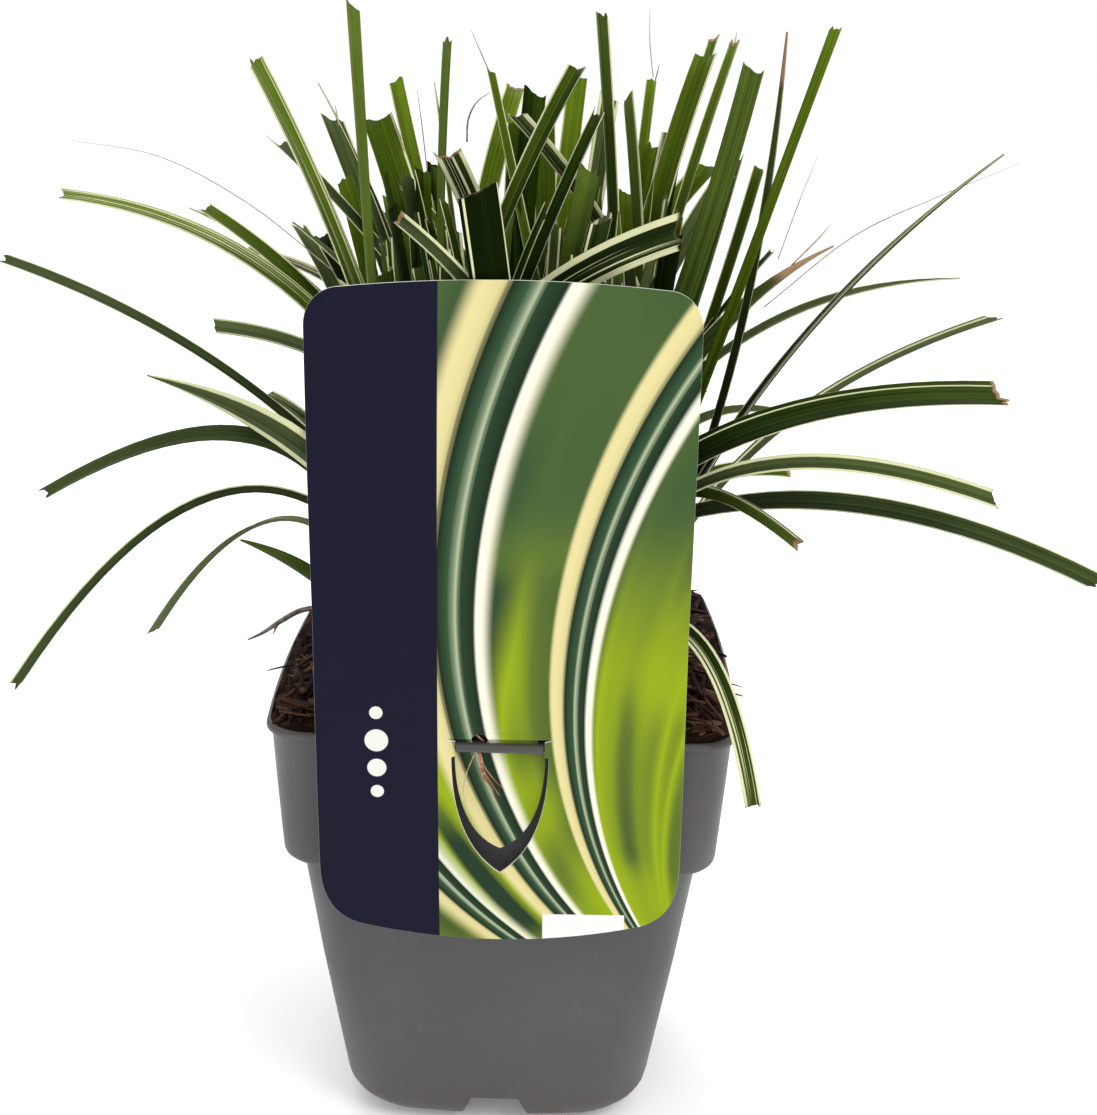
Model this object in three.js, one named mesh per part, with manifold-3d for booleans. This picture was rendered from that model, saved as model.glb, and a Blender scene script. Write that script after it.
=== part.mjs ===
// A clump of striped carex sedge, trimmed for sale, in its square nursery pot with the plant card
// hooked on the front of the rim. Millimetres, +Z up, the pot's feet on z = 0, the card at -Y.
import * as THREE from "three";
import { mergeVertices } from "three/addons/utils/BufferGeometryUtils.js";
import Module from "manifold-3d";

const wasm = await Module();
wasm.setup();

// ---------------------------------------------------------------- driving dimensions

const GAP = 0.3; // between pieces that touch

// pot
const RIM_HALF = 65;
const RIM_TOP = 134.5;
const LIP_TALL = 2.3;
const COLLAR_TOP_HALF = 63.8;
const COLLAR_FOOT_HALF = 61.2;
const COLLAR_FOOT_Z = 91.5;
const BODY_TOP_HALF = 56.5;
const BODY_TOP_Z = 88;
const BODY_FOOT_HALF = 46.2;
const BODY_FOOT_Z = 7;
const SOLE_HALF = 40;
const SOLE_WIDE = 3;
const WALL = 1.3;
const FLOOR_UNDER = 3.6;
const FLOOR_OVER = 5.4;
const NOTCH_WIDE = 15;
const DRAIN_RADIUS = 4;
const DRAIN_OUT = 26;
const BAR_WIDE = 22.6;
const BAR_POST = 1.2; // width of each short end that holds the bar
const BAR_LOW = 133.2;
const BAR_HIGH = 135.4;
const BAR_FRONT = -68.8;
const BAR_BACK = -67;

// soil
const SOIL_MIDDLE = 129; // height between the shoots
const SOIL_BANK = 136.5; // height of the bank inside the wall
const SOIL_EDGE = 134; // height at the wall
const SOIL_HALF = 60; // half the width that the bank is laid out on
const BANK_SLOPE = [0.62, 0.85]; // where the bank rises, as shares of that half width
const BANK_FALL = [0.88, 1]; // and where it falls off to the wall

// plant card
const CARD_WIDE = 98;
const CARD_LOW = 79.2;
const CARD_HIGH = 252.6;
const TOP_RISE = 2; // how far the middle of the top edge stands over its corners
const CARD_THICK = 0.6;
const CARD_FRONT = -68.4; // the card's front face where it stands nearest the viewer
const CARD_BEND_Z = 115;
const CARD_BEND = 0.00078; // how fast it leans back from there, per mm
const CARD_ROLL = 1.4; // degrees that the card hangs askew, its right side up
const ROLL_Z = 136; // height of the point on the bar that it turns about
const SLIT_LOW = 136; // lower lip of the slit, at the window's neck
const SLIT_HIGH = 136.8; // upper lip of the slit, and its two ends
const SLIT_SLANT = 2.6; // how far each end of the slit runs on past the neck
const WINDOW_SHOULDER = 131.8; // where the neck ends and the pointed U begins
const WINDOW_BELLY = 107; // height that the U's sides are drawn out towards
const WINDOW_TIP = 98.2;
const TONGUE_NECK = 132.5; // the tongue is narrower above this height, to pass between the bar's ends
const TONGUE_HALF = 11.8;
const TONGUE_BELLY = 109;
const TONGUE_TIP = 104.1;
const HOLE_X = -5.3; // round hole that cuts the slit's upper lip
const HOLE_Z = 136.1;
const HOLE_RADIUS = 2.2;
const TOP_ROUND = 9;
const FOOT_ROUND = 13;
const FOOT_SAG = 4;

// clump
const CROWN = 132; // height at which the blades part from their sheaths
const CLUMP_REACH = 120; // how far from the pot's axis the unnamed blades end
const LEAST_RISE = 35; // and how far over the crown they end at least
const SHEATH_RADIUS = 3.6;
const SHEATH_BELOW = 15;
const SHEATH_ABOVE = 7;
const SHEATH_LEAN = 0.6; // degrees for each mm from the pot's axis
const RINGS = [
  { radius: 8, shoots: 3, start: 90 },
  { radius: 20, shoots: 9, start: 10 },
  { radius: 33, shoots: 15, start: 0 },
];
const BLADE_EDGE = 0.62;
const BLADE_MIDDLE = 0.8;
const BLADE_STEPS = 5;
const ROOT_OUT = 1.7; // from the sheath's axis to the middle of a blade's root
const FOLD = 0.26; // how far the edges stand over the middle, as a share of the half width
const CLEAR = 0.4; // room kept round a blade that passes another
const SUNK = 7; // length of a blade's root that lies in its own sheath
const MOST_SHARED = 9; // mm3 that two blades of one shoot may share outside the sheath
const NEAREST = 12; // shoots that a named blade may grow from
const BLADES_EACH = 8;
const DRAWS_EACH = 240;

// The blades that give the clump its outline. Each is given by its shoot, the place of its cut
// tip, how far its middle stands over the straight line from crown to tip, its width, and how far
// it turns about its own length by the tip, in degrees.
const NAMED_BLADES = [
  // the broadest and furthest, which take their room first
  [12, -1, -10, 289, 27, 7, 30],
  [20, 21, -10, 290, 6, 6, 20],
  [21, 15, -30, 302, 12, 7, 50],
  [13, 52, 30, 305, 12, 8, 0],
  [12, 70, 0, 312, -9, 5, 15],
  [12, 20, -10, 315, 3, 7, -10],
  [26, 92, 30, 253, 30, 7, 10],
  [0, 150, -60, 181, 35, 9, 20],
  [6, -149, 20, 243, 18, 8, -10],
  [11, 135, 50, 242, 36, 5, 10],
  [20, 39, -60, 266, 30, 10, -90],
  [1, 106, -110, 239, 23, 10, -40],
  [23, -8, -60, 274, -4, 11, 30],
  [26, 74, -60, 189, 33, 4, -90],
  // left, from the top down
  [8, -39, -50, 315, -3, 7, -30],
  [7, -73, 10, 300, 9, 7, -20],
  [6, -66, 80, 293, 18, 6, 40],
  [5, -62, 80, 282, 3, 7, 0],
  [2, -44, 50, 284, 12, 8, -20],
  [4, -39, 50, 295, -3, 8, 0],
  [2, -69, 20, 278, 15, 10, 0],
  [1, -70, 50, 253, 21, 6, 0],
  [5, -90, 80, 240, 39, 4, -30],
  [6, -146, 70, 257, 39, 6, -30],
  [6, -99, 60, 255, 21, 8, -10],
  [6, -113, 100, 251, 24, 5, 0],
  [7, -93, 40, 222, 36, 6, 70],
  [10, -83, -80, 232, 18, 10, 40],
  [7, -81, 60, 197, 18, 5, -10],
  [8, -93, -120, 214, 36, 5, 60],
  [8, -126, -60, 145, 53, 8, 40],
  [22, -102, -10, 142, 41, 9, 10],
  [8, -72, -35, 178, 5, 11, 30],
  // middle
  [8, -20, -10, 307, -6, 9, -10],
  [16, -30, 90, 294, 0, 6, 50],
  [12, -10, 40, 299, 0, 5, 0],
  [6, -4, 90, 293, 27, 7, 20],
  [12, -17, -30, 280, 24, 6, 30],
  [13, -34, 30, 266, 15, 9, -15],
  [24, -27, -60, 267, 26, 5, 30],
  [11, 28, 0, 294, -3, 8, 20],
  [10, 19, -30, 277, 0, 9, -10],
  [5, 16, 90, 297, 0, 7, 10],
  [10, 8, -30, 266, 8, 8, 0],
  [15, 25, 110, 285, 6, 5, -50],
  // right, from the top down
  [4, 39, 70, 297, 0, 7, -30],
  [15, 60, 100, 310, 3, 6, -10],
  [4, 63, 60, 309, 6, 9, -20],
  [25, 57, -40, 303, -6, 6, -90],
  [12, 83, 0, 313, 0, 6, 18],
  [0, 53, 70, 272, 18, 8, 30],
  [4, 65, 90, 267, 12, 7, 20],
  [12, 68, 20, 275, -3, 8, 25],
  [14, 71, 100, 272, -3, 7, -40],
  [13, 128, -10, 283, 15, 11, -10],
  [12, 73, 20, 252, 6, 5, 10],
  [3, 122, -40, 244, 18, 8, -20],
  [4, 86, 40, 182, 24, 6, 50],
  [10, 122, -60, 202, 36, 8, 20],
  [4, 96, 90, 187, 33, 4, 30],
  [24, 66, -70, 121, 39, 5, 40],
  // back
  [16, -14, 123, 214, 34, 10, 10],
  [14, 62, 108, 190, 40, 9, -20],
  [18, -70, 104, 186, 42, 10, 20],
];

// ---------------------------------------------------------------- helpers

const radians = THREE.MathUtils.degToRad;

// A repeatable draw between 0 and 1 (the Park-Miller rule).
let drawState = 20110;
function draw() {
  drawState = (drawState * 16807) % 2147483647;
  return drawState / 2147483647;
}

function solidOf(geometry) {
  const bare = geometry.clone();
  bare.deleteAttribute("normal");
  bare.deleteAttribute("uv");
  const merged = mergeVertices(bare, 1e-4);
  return new wasm.Manifold(
    new wasm.Mesh({
      numProp: 3,
      vertProperties: merged.attributes.position.array,
      triVerts: new Uint32Array(merged.index.array),
    }),
  );
}

function geometryOf(solid) {
  const mesh = solid.getMesh();
  const geometry = new THREE.BufferGeometry();
  geometry.setAttribute("position", new THREE.BufferAttribute(mesh.vertProperties, 3));
  geometry.setIndex(new THREE.BufferAttribute(mesh.triVerts, 1));
  geometry.computeVertexNormals();
  return geometry;
}

function joined(solids) {
  return solids.reduce((whole, solid) => whole.add(solid));
}

// The one body that a fused shoot is: a hollow sealed by the fusing is filled, a loose scrap is dropped.
function oneBody(solid) {
  return solid.decompose().reduce((most, body) => (body.volume() > most.volume() ? body : most));
}

// A closed skin through rings of points that all hold the same number, closed by a fan at each end.
function loft(rings) {
  const around = rings[0].length;
  const points = rings.flat();
  const first = new THREE.Vector3();
  const last = new THREE.Vector3();
  rings[0].forEach((point) => first.addScaledVector(point, 1 / around));
  rings.at(-1).forEach((point) => last.addScaledVector(point, 1 / around));
  const faces = [];
  for (let i = 0; i + 1 < rings.length; i++)
    for (let j = 0; j < around; j++) {
      const next = (j + 1) % around;
      const a = i * around + j;
      const b = i * around + next;
      faces.push(a, b, b + around, a, b + around, a + around);
    }
  const firstIndex = points.length;
  const lastRow = (rings.length - 1) * around;
  for (let j = 0; j < around; j++) {
    const next = (j + 1) % around;
    faces.push(firstIndex, next, j, firstIndex + 1, lastRow + j, lastRow + next);
  }
  const geometry = new THREE.BufferGeometry().setFromPoints([...points, first, last]);
  geometry.setIndex(faces);
  return geometry;
}

// The pot's plan at one height: a square with round corners whose sides bow outwards.
function plan(half, corner, bow, z) {
  const sideSteps = 3;
  const cornerSteps = 4;
  const straight = half - bow;
  const reach = straight - corner;
  const ring = [];
  for (let side = 0; side < 4; side++) {
    const quarter = new THREE.Matrix4().makeRotationZ((side * Math.PI) / 2);
    for (let i = 0; i < sideSteps; i++) {
      const along = -reach + (2 * reach * i) / sideSteps;
      const out = straight + bow * (1 - (along / reach) ** 2);
      ring.push(new THREE.Vector3(along, -out, z).applyMatrix4(quarter));
    }
    for (let i = 0; i < cornerSteps; i++) {
      const angle = -Math.PI / 2 + ((Math.PI / 2) * i) / cornerSteps;
      const x = reach + corner * Math.cos(angle);
      const y = -reach + corner * Math.sin(angle);
      ring.push(new THREE.Vector3(x, y, z).applyMatrix4(quarter));
    }
  }
  return ring;
}

function box(x0, x1, y0, y1, z0, z1) {
  const geometry = new THREE.BoxGeometry(x1 - x0, y1 - y0, z1 - z0);
  geometry.translate((x0 + x1) / 2, (y0 + y1) / 2, (z0 + z1) / 2);
  return solidOf(geometry);
}

// ---------------------------------------------------------------- pot

function potPlan(half, z) {
  const up = THREE.MathUtils.clamp(z / RIM_TOP, 0, 1);
  const bow = 1.2 + 0.8 * up;
  const corner = z > BODY_TOP_Z + 1 ? 11 : Math.min(13, half * 0.28);
  return plan(half, corner, bow, z);
}

function makePot() {
  const skirt = solidOf(
    loft([
      potPlan(SOLE_HALF - SOLE_WIDE - 0.2, FLOOR_UNDER),
      potPlan(SOLE_HALF - SOLE_WIDE, 0),
      potPlan(SOLE_HALF, 0),
      potPlan(SOLE_HALF + 3, 1),
      potPlan(BODY_FOOT_HALF - 1.1, 3.4),
      potPlan(BODY_FOOT_HALF, BODY_FOOT_Z),
      potPlan(BODY_TOP_HALF, BODY_TOP_Z),
      potPlan(BODY_TOP_HALF + 1.6, BODY_TOP_Z + 0.5),
      potPlan(COLLAR_FOOT_HALF - 1.2, COLLAR_FOOT_Z - 2),
      potPlan(COLLAR_FOOT_HALF, COLLAR_FOOT_Z),
      potPlan(COLLAR_TOP_HALF, RIM_TOP - LIP_TALL),
      potPlan(RIM_HALF, RIM_TOP - LIP_TALL + 0.2),
      potPlan(RIM_HALF, RIM_TOP - 0.4),
      potPlan(RIM_HALF - 0.5, RIM_TOP),
      potPlan(COLLAR_TOP_HALF - WALL, RIM_TOP),
      potPlan(COLLAR_FOOT_HALF - WALL, COLLAR_FOOT_Z + 0.3),
      potPlan(COLLAR_FOOT_HALF - WALL - 1.3, COLLAR_FOOT_Z - 1.2),
      potPlan(BODY_TOP_HALF - WALL, BODY_TOP_Z + 0.6),
      potPlan(BODY_FOOT_HALF - WALL, BODY_FOOT_Z + 1),
      potPlan(BODY_FOOT_HALF - WALL - 2, FLOOR_OVER),
    ]),
  );
  // The skirt under the floor is cut in the middle of each side, so the pot stands on four feet.
  const notchX = box(-NOTCH_WIDE / 2, NOTCH_WIDE / 2, -60, 60, -1, FLOOR_UNDER);
  const notchY = box(-60, 60, -NOTCH_WIDE / 2, NOTCH_WIDE / 2, -1, FLOOR_UNDER);
  let pot = skirt.subtract(notchX).subtract(notchY);
  for (const angle of [45, 135, 225, 315]) {
    const drain = new THREE.CylinderGeometry(DRAIN_RADIUS, DRAIN_RADIUS, 6, 12);
    drain.rotateX(Math.PI / 2);
    const out = DRAIN_OUT * Math.SQRT2;
    drain.translate(out * Math.cos(radians(angle)), out * Math.sin(radians(angle)), FLOOR_OVER - 1);
    pot = pot.subtract(solidOf(drain));
  }
  // The label bar stands off the front of the lip on two short ends.
  const half = BAR_WIDE / 2;
  const bar = box(-half, half, BAR_FRONT, BAR_BACK, BAR_LOW, BAR_HIGH);
  const postBack = 0.9 - RIM_HALF;
  const posts = [-half, half - BAR_POST].map((left) =>
    box(left, left + BAR_POST, BAR_BACK - 0.5, postBack, BAR_LOW, RIM_TOP - 0.2),
  );
  return joined([pot, bar, ...posts]);
}

// ---------------------------------------------------------------- soil

// The mix lies low between the shoots, is banked up inside the wall and falls off to it.
function soilHeight(x, y) {
  const out = Math.max(Math.abs(x), Math.abs(y)) / SOIL_HALF;
  const banked = (SOIL_BANK - SOIL_MIDDLE) * THREE.MathUtils.smoothstep(out, ...BANK_SLOPE);
  const fall = (SOIL_BANK - SOIL_EDGE) * THREE.MathUtils.smoothstep(out, ...BANK_FALL);
  const lumps = 0.9 * Math.sin(x * 0.31 + 1.2) * Math.cos(y * 0.27 - 0.5) + 0.5 * Math.sin((x + y) * 0.17);
  return SOIL_MIDDLE + banked - fall + lumps;
}

function makeSoil() {
  const inside = WALL + GAP + 0.05;
  const rings = [
    potPlan(BODY_FOOT_HALF - inside - 2.2, FLOOR_OVER + GAP),
    potPlan(BODY_FOOT_HALF - inside - 0.1, BODY_FOOT_Z + 1.4),
    potPlan(BODY_TOP_HALF - inside, BODY_TOP_Z + 0.9),
    potPlan(COLLAR_FOOT_HALF - inside - 1.5, COLLAR_FOOT_Z - 0.7),
    potPlan(COLLAR_FOOT_HALF - inside, COLLAR_FOOT_Z + 0.8),
  ];
  const edgeHalf = COLLAR_TOP_HALF - inside - 0.6;
  for (const share of [1, 0.9, 0.76, 0.6, 0.42, 0.2]) {
    const ring = potPlan(edgeHalf * share, RIM_TOP);
    ring.forEach((point) => (point.z = soilHeight(point.x, point.y)));
    rings.push(ring);
  }
  return solidOf(loft(rings));
}

// ---------------------------------------------------------------- plant card

function cardFront(z) {
  return CARD_FRONT + CARD_BEND * (z - CARD_BEND_Z) ** 2;
}

// A strip seen from the side, bent along `places` (pairs of y and z, top first) and as wide as asked.
function bentStrip(places, wide) {
  const shape = new THREE.Shape();
  shape.setFromPoints([
    ...places.map(([y, z]) => new THREE.Vector2(y, z)),
    ...places.map(([y, z]) => new THREE.Vector2(y + CARD_THICK, z)).reverse(),
  ]);
  const strip = new THREE.ExtrudeGeometry(shape, { depth: wide, bevelEnabled: false, steps: 1 });
  // The shape's own axes become Y and Z, and its depth runs along X.
  strip.applyMatrix4(new THREE.Matrix4().set(0, 0, 1, -wide / 2, 1, 0, 0, 0, 0, 1, 0, 0, 0, 0, 0, 1));
  return solidOf(strip);
}

// A flat outline in X and Z, run straight through along Y.
function punch(shape) {
  const block = new THREE.ExtrudeGeometry(shape, { depth: 60, bevelEnabled: false, curveSegments: 6 });
  block.applyMatrix4(new THREE.Matrix4().set(1, 0, 0, 0, 0, 0, -1, -30, 0, 1, 0, 0, 0, 0, 0, 1));
  return solidOf(block);
}

function cardOutline() {
  const half = CARD_WIDE / 2;
  const corner = half - FOOT_ROUND;
  const shape = new THREE.Shape();
  shape.moveTo(-half, CARD_LOW + FOOT_SAG + FOOT_ROUND);
  shape.quadraticCurveTo(-half, CARD_LOW + FOOT_SAG, -corner, CARD_LOW + FOOT_SAG * 0.75);
  shape.quadraticCurveTo(0, CARD_LOW - FOOT_SAG * 0.75, corner, CARD_LOW + FOOT_SAG * 0.75);
  shape.quadraticCurveTo(half, CARD_LOW + FOOT_SAG, half, CARD_LOW + FOOT_SAG + FOOT_ROUND);
  const shoulder = CARD_HIGH - TOP_RISE;
  shape.lineTo(half, shoulder - TOP_ROUND);
  shape.absarc(half - TOP_ROUND, shoulder - TOP_ROUND, TOP_ROUND, 0, Math.PI / 2, false);
  shape.quadraticCurveTo(0, CARD_HIGH + TOP_RISE, TOP_ROUND - half, shoulder);
  shape.absarc(-half + TOP_ROUND, shoulder - TOP_ROUND, TOP_ROUND, Math.PI / 2, Math.PI, false);
  shape.closePath();
  return shape;
}

// The window that the tongue leaves: a slit at the top, a neck as wide as the bar and a pointed U.
function windowOutline() {
  const neck = BAR_WIDE / 2 + GAP;
  const shoulder = neck + 1;
  const shape = new THREE.Shape();
  shape.moveTo(-neck - SLIT_SLANT, SLIT_HIGH);
  shape.lineTo(-neck, SLIT_LOW);
  shape.lineTo(-neck, WINDOW_SHOULDER + 0.2);
  shape.lineTo(-shoulder, WINDOW_SHOULDER - 0.2);
  shape.quadraticCurveTo(-shoulder, WINDOW_BELLY, 0, WINDOW_TIP);
  shape.quadraticCurveTo(shoulder, WINDOW_BELLY, shoulder, WINDOW_SHOULDER - 0.2);
  shape.lineTo(neck, WINDOW_SHOULDER + 0.2);
  shape.lineTo(neck, SLIT_LOW);
  shape.lineTo(neck + SLIT_SLANT, SLIT_HIGH);
  shape.closePath();
  return shape;
}

// The tongue: the punched-out piece, which stays joined along the slit.
function tongueOutline() {
  const neck = BAR_WIDE / 2 - BAR_POST - GAP;
  const root = SLIT_HIGH + 3;
  const shape = new THREE.Shape();
  shape.moveTo(-neck, root);
  shape.lineTo(-neck, TONGUE_NECK + 0.2);
  shape.lineTo(-TONGUE_HALF, TONGUE_NECK);
  shape.quadraticCurveTo(-TONGUE_HALF, TONGUE_BELLY, 0, TONGUE_TIP);
  shape.quadraticCurveTo(TONGUE_HALF, TONGUE_BELLY, TONGUE_HALF, TONGUE_NECK);
  shape.lineTo(neck, TONGUE_NECK + 0.2);
  shape.lineTo(neck, root);
  shape.closePath();
  return shape;
}

function makeCard() {
  const places = [];
  const steps = 12;
  for (let i = 0; i <= steps; i++) {
    const z = CARD_HIGH + 2 - ((CARD_HIGH - CARD_LOW + 4) * i) / steps;
    places.push([cardFront(z), z]);
  }
  const sheet = bentStrip(places, CARD_WIDE + 4).intersect(punch(cardOutline()));
  // Behind the bar the tongue lies between it and the lip, then hangs down along the collar.
  const behind = BAR_BACK + GAP;
  const tongue = bentStrip(
    [
      [cardFront(SLIT_HIGH + 3), SLIT_HIGH + 3],
      [cardFront(SLIT_HIGH + 1.2), SLIT_HIGH + 1.2],
      [behind, BAR_HIGH + 0.6],
      [behind, BAR_LOW - 1.6],
      [behind + 0.9, 120],
      [behind + 1.3, TONGUE_TIP - 2],
    ],
    BAR_WIDE + 6,
  ).intersect(punch(tongueOutline()));
  const hole = new THREE.Shape();
  hole.absarc(HOLE_X, HOLE_Z, HOLE_RADIUS, 0, 2 * Math.PI, false);
  const card = sheet.subtract(punch(windowOutline())).add(tongue).subtract(punch(hole));
  return card.translate([0, 0, -ROLL_Z]).rotate([0, -CARD_ROLL, 0]).translate([0, 0, ROLL_Z]);
}

// ---------------------------------------------------------------- clump

function shootPlaces() {
  const places = [];
  for (const ring of RINGS)
    for (let i = 0; i < ring.shoots; i++) {
      const azimuth = ring.start + (360 * i) / ring.shoots;
      const turn = radians(azimuth);
      const crown = new THREE.Vector3(ring.radius * Math.cos(turn), ring.radius * Math.sin(turn), CROWN);
      places.push({ azimuth, radius: ring.radius, crown, lean: radians(ring.radius * SHEATH_LEAN) });
    }
  return places;
}

// A shoot's sheath, or with `extra` the plain hole that it stands in.
function sheath(place, extra, above) {
  const low = SHEATH_BELOW + extra;
  const tube = new THREE.CylinderGeometry(
    SHEATH_RADIUS * 0.78 + extra,
    SHEATH_RADIUS + extra,
    low + above,
    6,
  );
  tube.rotateX(Math.PI / 2);
  tube.translate(0, 0, (above - low) / 2);
  tube.rotateY(place.lean);
  tube.rotateZ(radians(place.azimuth));
  tube.translate(place.crown.x, place.crown.y, place.crown.z);
  return solidOf(tube);
}

// The middle line of a blade: from the side of the crown, over the elbow and out to its cut tip.
function bladeLine(centre, tip, arch) {
  const heading = Math.atan2(tip.y - centre.y, tip.x - centre.x);
  const crown = centre.clone();
  crown.x += ROOT_OUT * Math.cos(heading);
  crown.y += ROOT_OUT * Math.sin(heading);
  const chord = tip.clone().sub(crown);
  const unit = chord.clone().normalize();
  const rise = new THREE.Vector3(0, 0, 1).addScaledVector(unit, -unit.z).normalize();
  const elbow = crown.clone().add(tip).multiplyScalar(0.5).addScaledVector(rise, 2 * arch);
  return new THREE.QuadraticBezierCurve3(crown, elbow, tip);
}

// A folded strap along its middle line. For a clearance test `grown` thickens it on all sides, and
// `from` leaves out that length of its root.
function bladeSolid(blade, grown = 0, from = 0) {
  const { line, width, turn, cut } = blade;
  const start = from / line.getLength();
  const across = new THREE.Vector3(0, 0, 1).cross(line.getTangent(0.5)).normalize();
  const points = [];
  for (let i = 0; i <= BLADE_STEPS; i++) {
    const t = start + ((1 - start) * i) / BLADE_STEPS;
    const middle = line.getPoint(t);
    const tangent = line.getTangent(t);
    const twist = new THREE.Matrix4().makeRotationAxis(tangent, radians(turn) * Math.min(1, 1.6 * t));
    const side = across.clone().applyMatrix4(twist);
    const face = tangent.clone().cross(side).normalize();
    const half = (width / 2) * (0.46 + 0.54 * Math.min(1, t / 0.35)) * (1 - 0.1 * t) + grown;
    const fold = FOLD * half;
    for (const [u, over, thick] of [
      [-1, 1, BLADE_EDGE],
      [0, 0, BLADE_MIDDLE],
      [1, 1, BLADE_EDGE],
      [1, 1, -BLADE_EDGE],
      [0, 0, -BLADE_MIDDLE],
      [-1, 1, -BLADE_EDGE],
    ]) {
      const point = middle.clone();
      point.addScaledVector(side, u * half);
      point.addScaledVector(face, over * fold + thick / 2 + Math.sign(thick) * grown);
      if (i === BLADE_STEPS) point.addScaledVector(tangent, u * cut * half + grown);
      points.push(point);
    }
  }
  const faces = [];
  for (let i = 0; i < BLADE_STEPS; i++)
    for (let j = 0; j < 6; j++) {
      const a = i * 6 + j;
      const b = i * 6 + ((j + 1) % 6);
      // Both faces are split along the same diagonal, so a turned blade keeps its thickness.
      if (j < 3) faces.push(a, b + 6, b, a, a + 6, b + 6);
      else faces.push(a, a + 6, b, b, a + 6, b + 6);
    }
  const end = BLADE_STEPS * 6;
  faces.push(0, 1, 4, 0, 4, 5, 1, 2, 3, 1, 3, 4);
  faces.push(end, end + 4, end + 1, end, end + 5, end + 4);
  faces.push(end + 1, end + 3, end + 2, end + 1, end + 4, end + 3);
  const geometry = new THREE.BufferGeometry().setFromPoints(points);
  geometry.setIndex(faces);
  return solidOf(geometry);
}

function apart(a, b) {
  const p = a.boundingBox();
  const q = b.boundingBox();
  return [0, 1, 2].some((k) => p.max[k] < q.min[k] || q.max[k] < p.min[k]);
}

function clears(solid, others) {
  return others.every((other) => apart(solid, other) || solid.intersect(other).volume() < 1e-6);
}

// The steps that a blade's tip may be bent aside, and its arch changed, to pass its neighbours.
function bends() {
  const steps = [];
  for (const aside of [0, 3, -3, 6, -6, 9, -9, 12, -12])
    for (const lift of [0, 4, -4, 8]) steps.push([aside, lift]);
  return steps.sort((a, b) => Math.abs(a[0]) + Math.abs(a[1]) - Math.abs(b[0]) - Math.abs(b[1]));
}

function bent(place, tip, arch, aside, lift) {
  const heading = Math.atan2(tip.y - place.crown.y, tip.x - place.crown.x);
  const moved = tip.clone();
  moved.x -= aside * Math.sin(heading);
  moved.y += aside * Math.cos(heading);
  return bladeLine(place.crown, moved, arch + lift);
}

// Whether a blade of this shoot passes the pot, the soil, the card and the other shoots. It may cut
// through a blade of its own shoot, and is then fused with it, but does not lie along it.
function passes(blade, index, shoots, fixed) {
  const others = shoots.flatMap((shoot, k) => (k === index ? [] : shoot.solids));
  if (!clears(bladeSolid(blade, CLEAR, SUNK), [...fixed, ...others])) return false;
  const free = bladeSolid(blade, 0, SUNK);
  return shoots[index].solids.slice(1).every((own) => free.intersect(own).volume() < MOST_SHARED);
}

function grow(shoot, blade) {
  shoot.blades.push(blade);
  shoot.solids.push(bladeSolid(blade));
}

function growNamed(shoots, fixed) {
  const bendings = bends();
  for (const [nearest, x, y, z, arch, width, turn] of NAMED_BLADES) {
    const cut = 1.2 * (draw() - 0.5);
    const tip = new THREE.Vector3(x, y, z);
    const from = shoots[nearest].place.crown;
    const order = shoots.map((shoot, index) => [from.distanceTo(shoot.place.crown), index]);
    order.sort((a, b) => a[0] - b[0] || a[1] - b[1]);
    const tries = bendings.flatMap((bend) => order.slice(0, NEAREST).map(([, index]) => [index, bend]));
    for (const [index, [aside, lift]] of tries) {
      const line = bent(shoots[index].place, tip, arch, aside, lift);
      const blade = { line, width, turn, cut };
      if (!passes(blade, index, shoots, fixed)) continue;
      grow(shoots[index], blade);
      break;
    }
  }
}

// The rest of the clump: blades drawn at random to the back, and short ones behind the card.
function growRest(shoots, fixed) {
  for (let round = 0; round < DRAWS_EACH; round++)
    shoots.forEach((shoot, index) => {
      const [spin, out, tall, droop, wide, twist, trim] = Array.from({ length: 7 }, draw);
      if (shoot.blades.length >= BLADES_EACH) return;
      const { crown, radius } = shoot.place;
      const azimuth = radians(shoot.place.azimuth + (radius < 10 ? 360 : 90) * (spin - 0.5));
      const front = Math.sin(azimuth) < 0;
      if (Math.abs(Math.sin(azimuth)) < 0.7) return;
      const reach = front ? 4 + 22 * out : 12 + (CLUMP_REACH - radius - 12) * out;
      const chord = front ? 80 + 45 * tall : 142 + 34 * tall - 52 * out * droop;
      const tip = crown.clone();
      tip.x += reach * Math.cos(azimuth);
      tip.y += reach * Math.sin(azimuth);
      tip.z += Math.sqrt(Math.max(LEAST_RISE ** 2, chord ** 2 - reach ** 2));
      const line = bladeLine(crown, tip, 2 + (4 + 34 * droop) * out);
      const blade = { line, width: 5.5 + 3.5 * wide, turn: 70 * (twist - 0.5), cut: 1.2 * (trim - 0.5) };
      if (passes(blade, index, shoots, fixed)) grow(shoot, blade);
    });
}

function growClump(fixed) {
  const shoots = shootPlaces().map((place) => ({
    place,
    blades: [],
    solids: [sheath(place, 0, SHEATH_ABOVE)],
  }));
  growNamed(shoots, fixed);
  growRest(shoots, fixed);
  return shoots.filter((shoot) => shoot.blades.length > 0);
}

// ---------------------------------------------------------------- assembly

const greyPlastic = new THREE.MeshStandardMaterial({ color: 0x5d5c60, roughness: 0.45, metalness: 0 });
const barkMix = new THREE.MeshStandardMaterial({ color: 0x4a3026, roughness: 0.95, metalness: 0 });
const printedCard = new THREE.MeshStandardMaterial({ color: 0x4f6b2c, roughness: 0.4, metalness: 0 });
const sedgeGreen = new THREE.MeshStandardMaterial({ color: 0x53803a, roughness: 0.5, metalness: 0 });

const group = new THREE.Group();

function addMesh(name, solid, material) {
  const mesh = new THREE.Mesh(geometryOf(solid), material);
  mesh.name = name;
  group.add(mesh);
}

const potSolid = makePot();
const cardSolid = makeCard();
const soilBlock = makeSoil();
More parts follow.
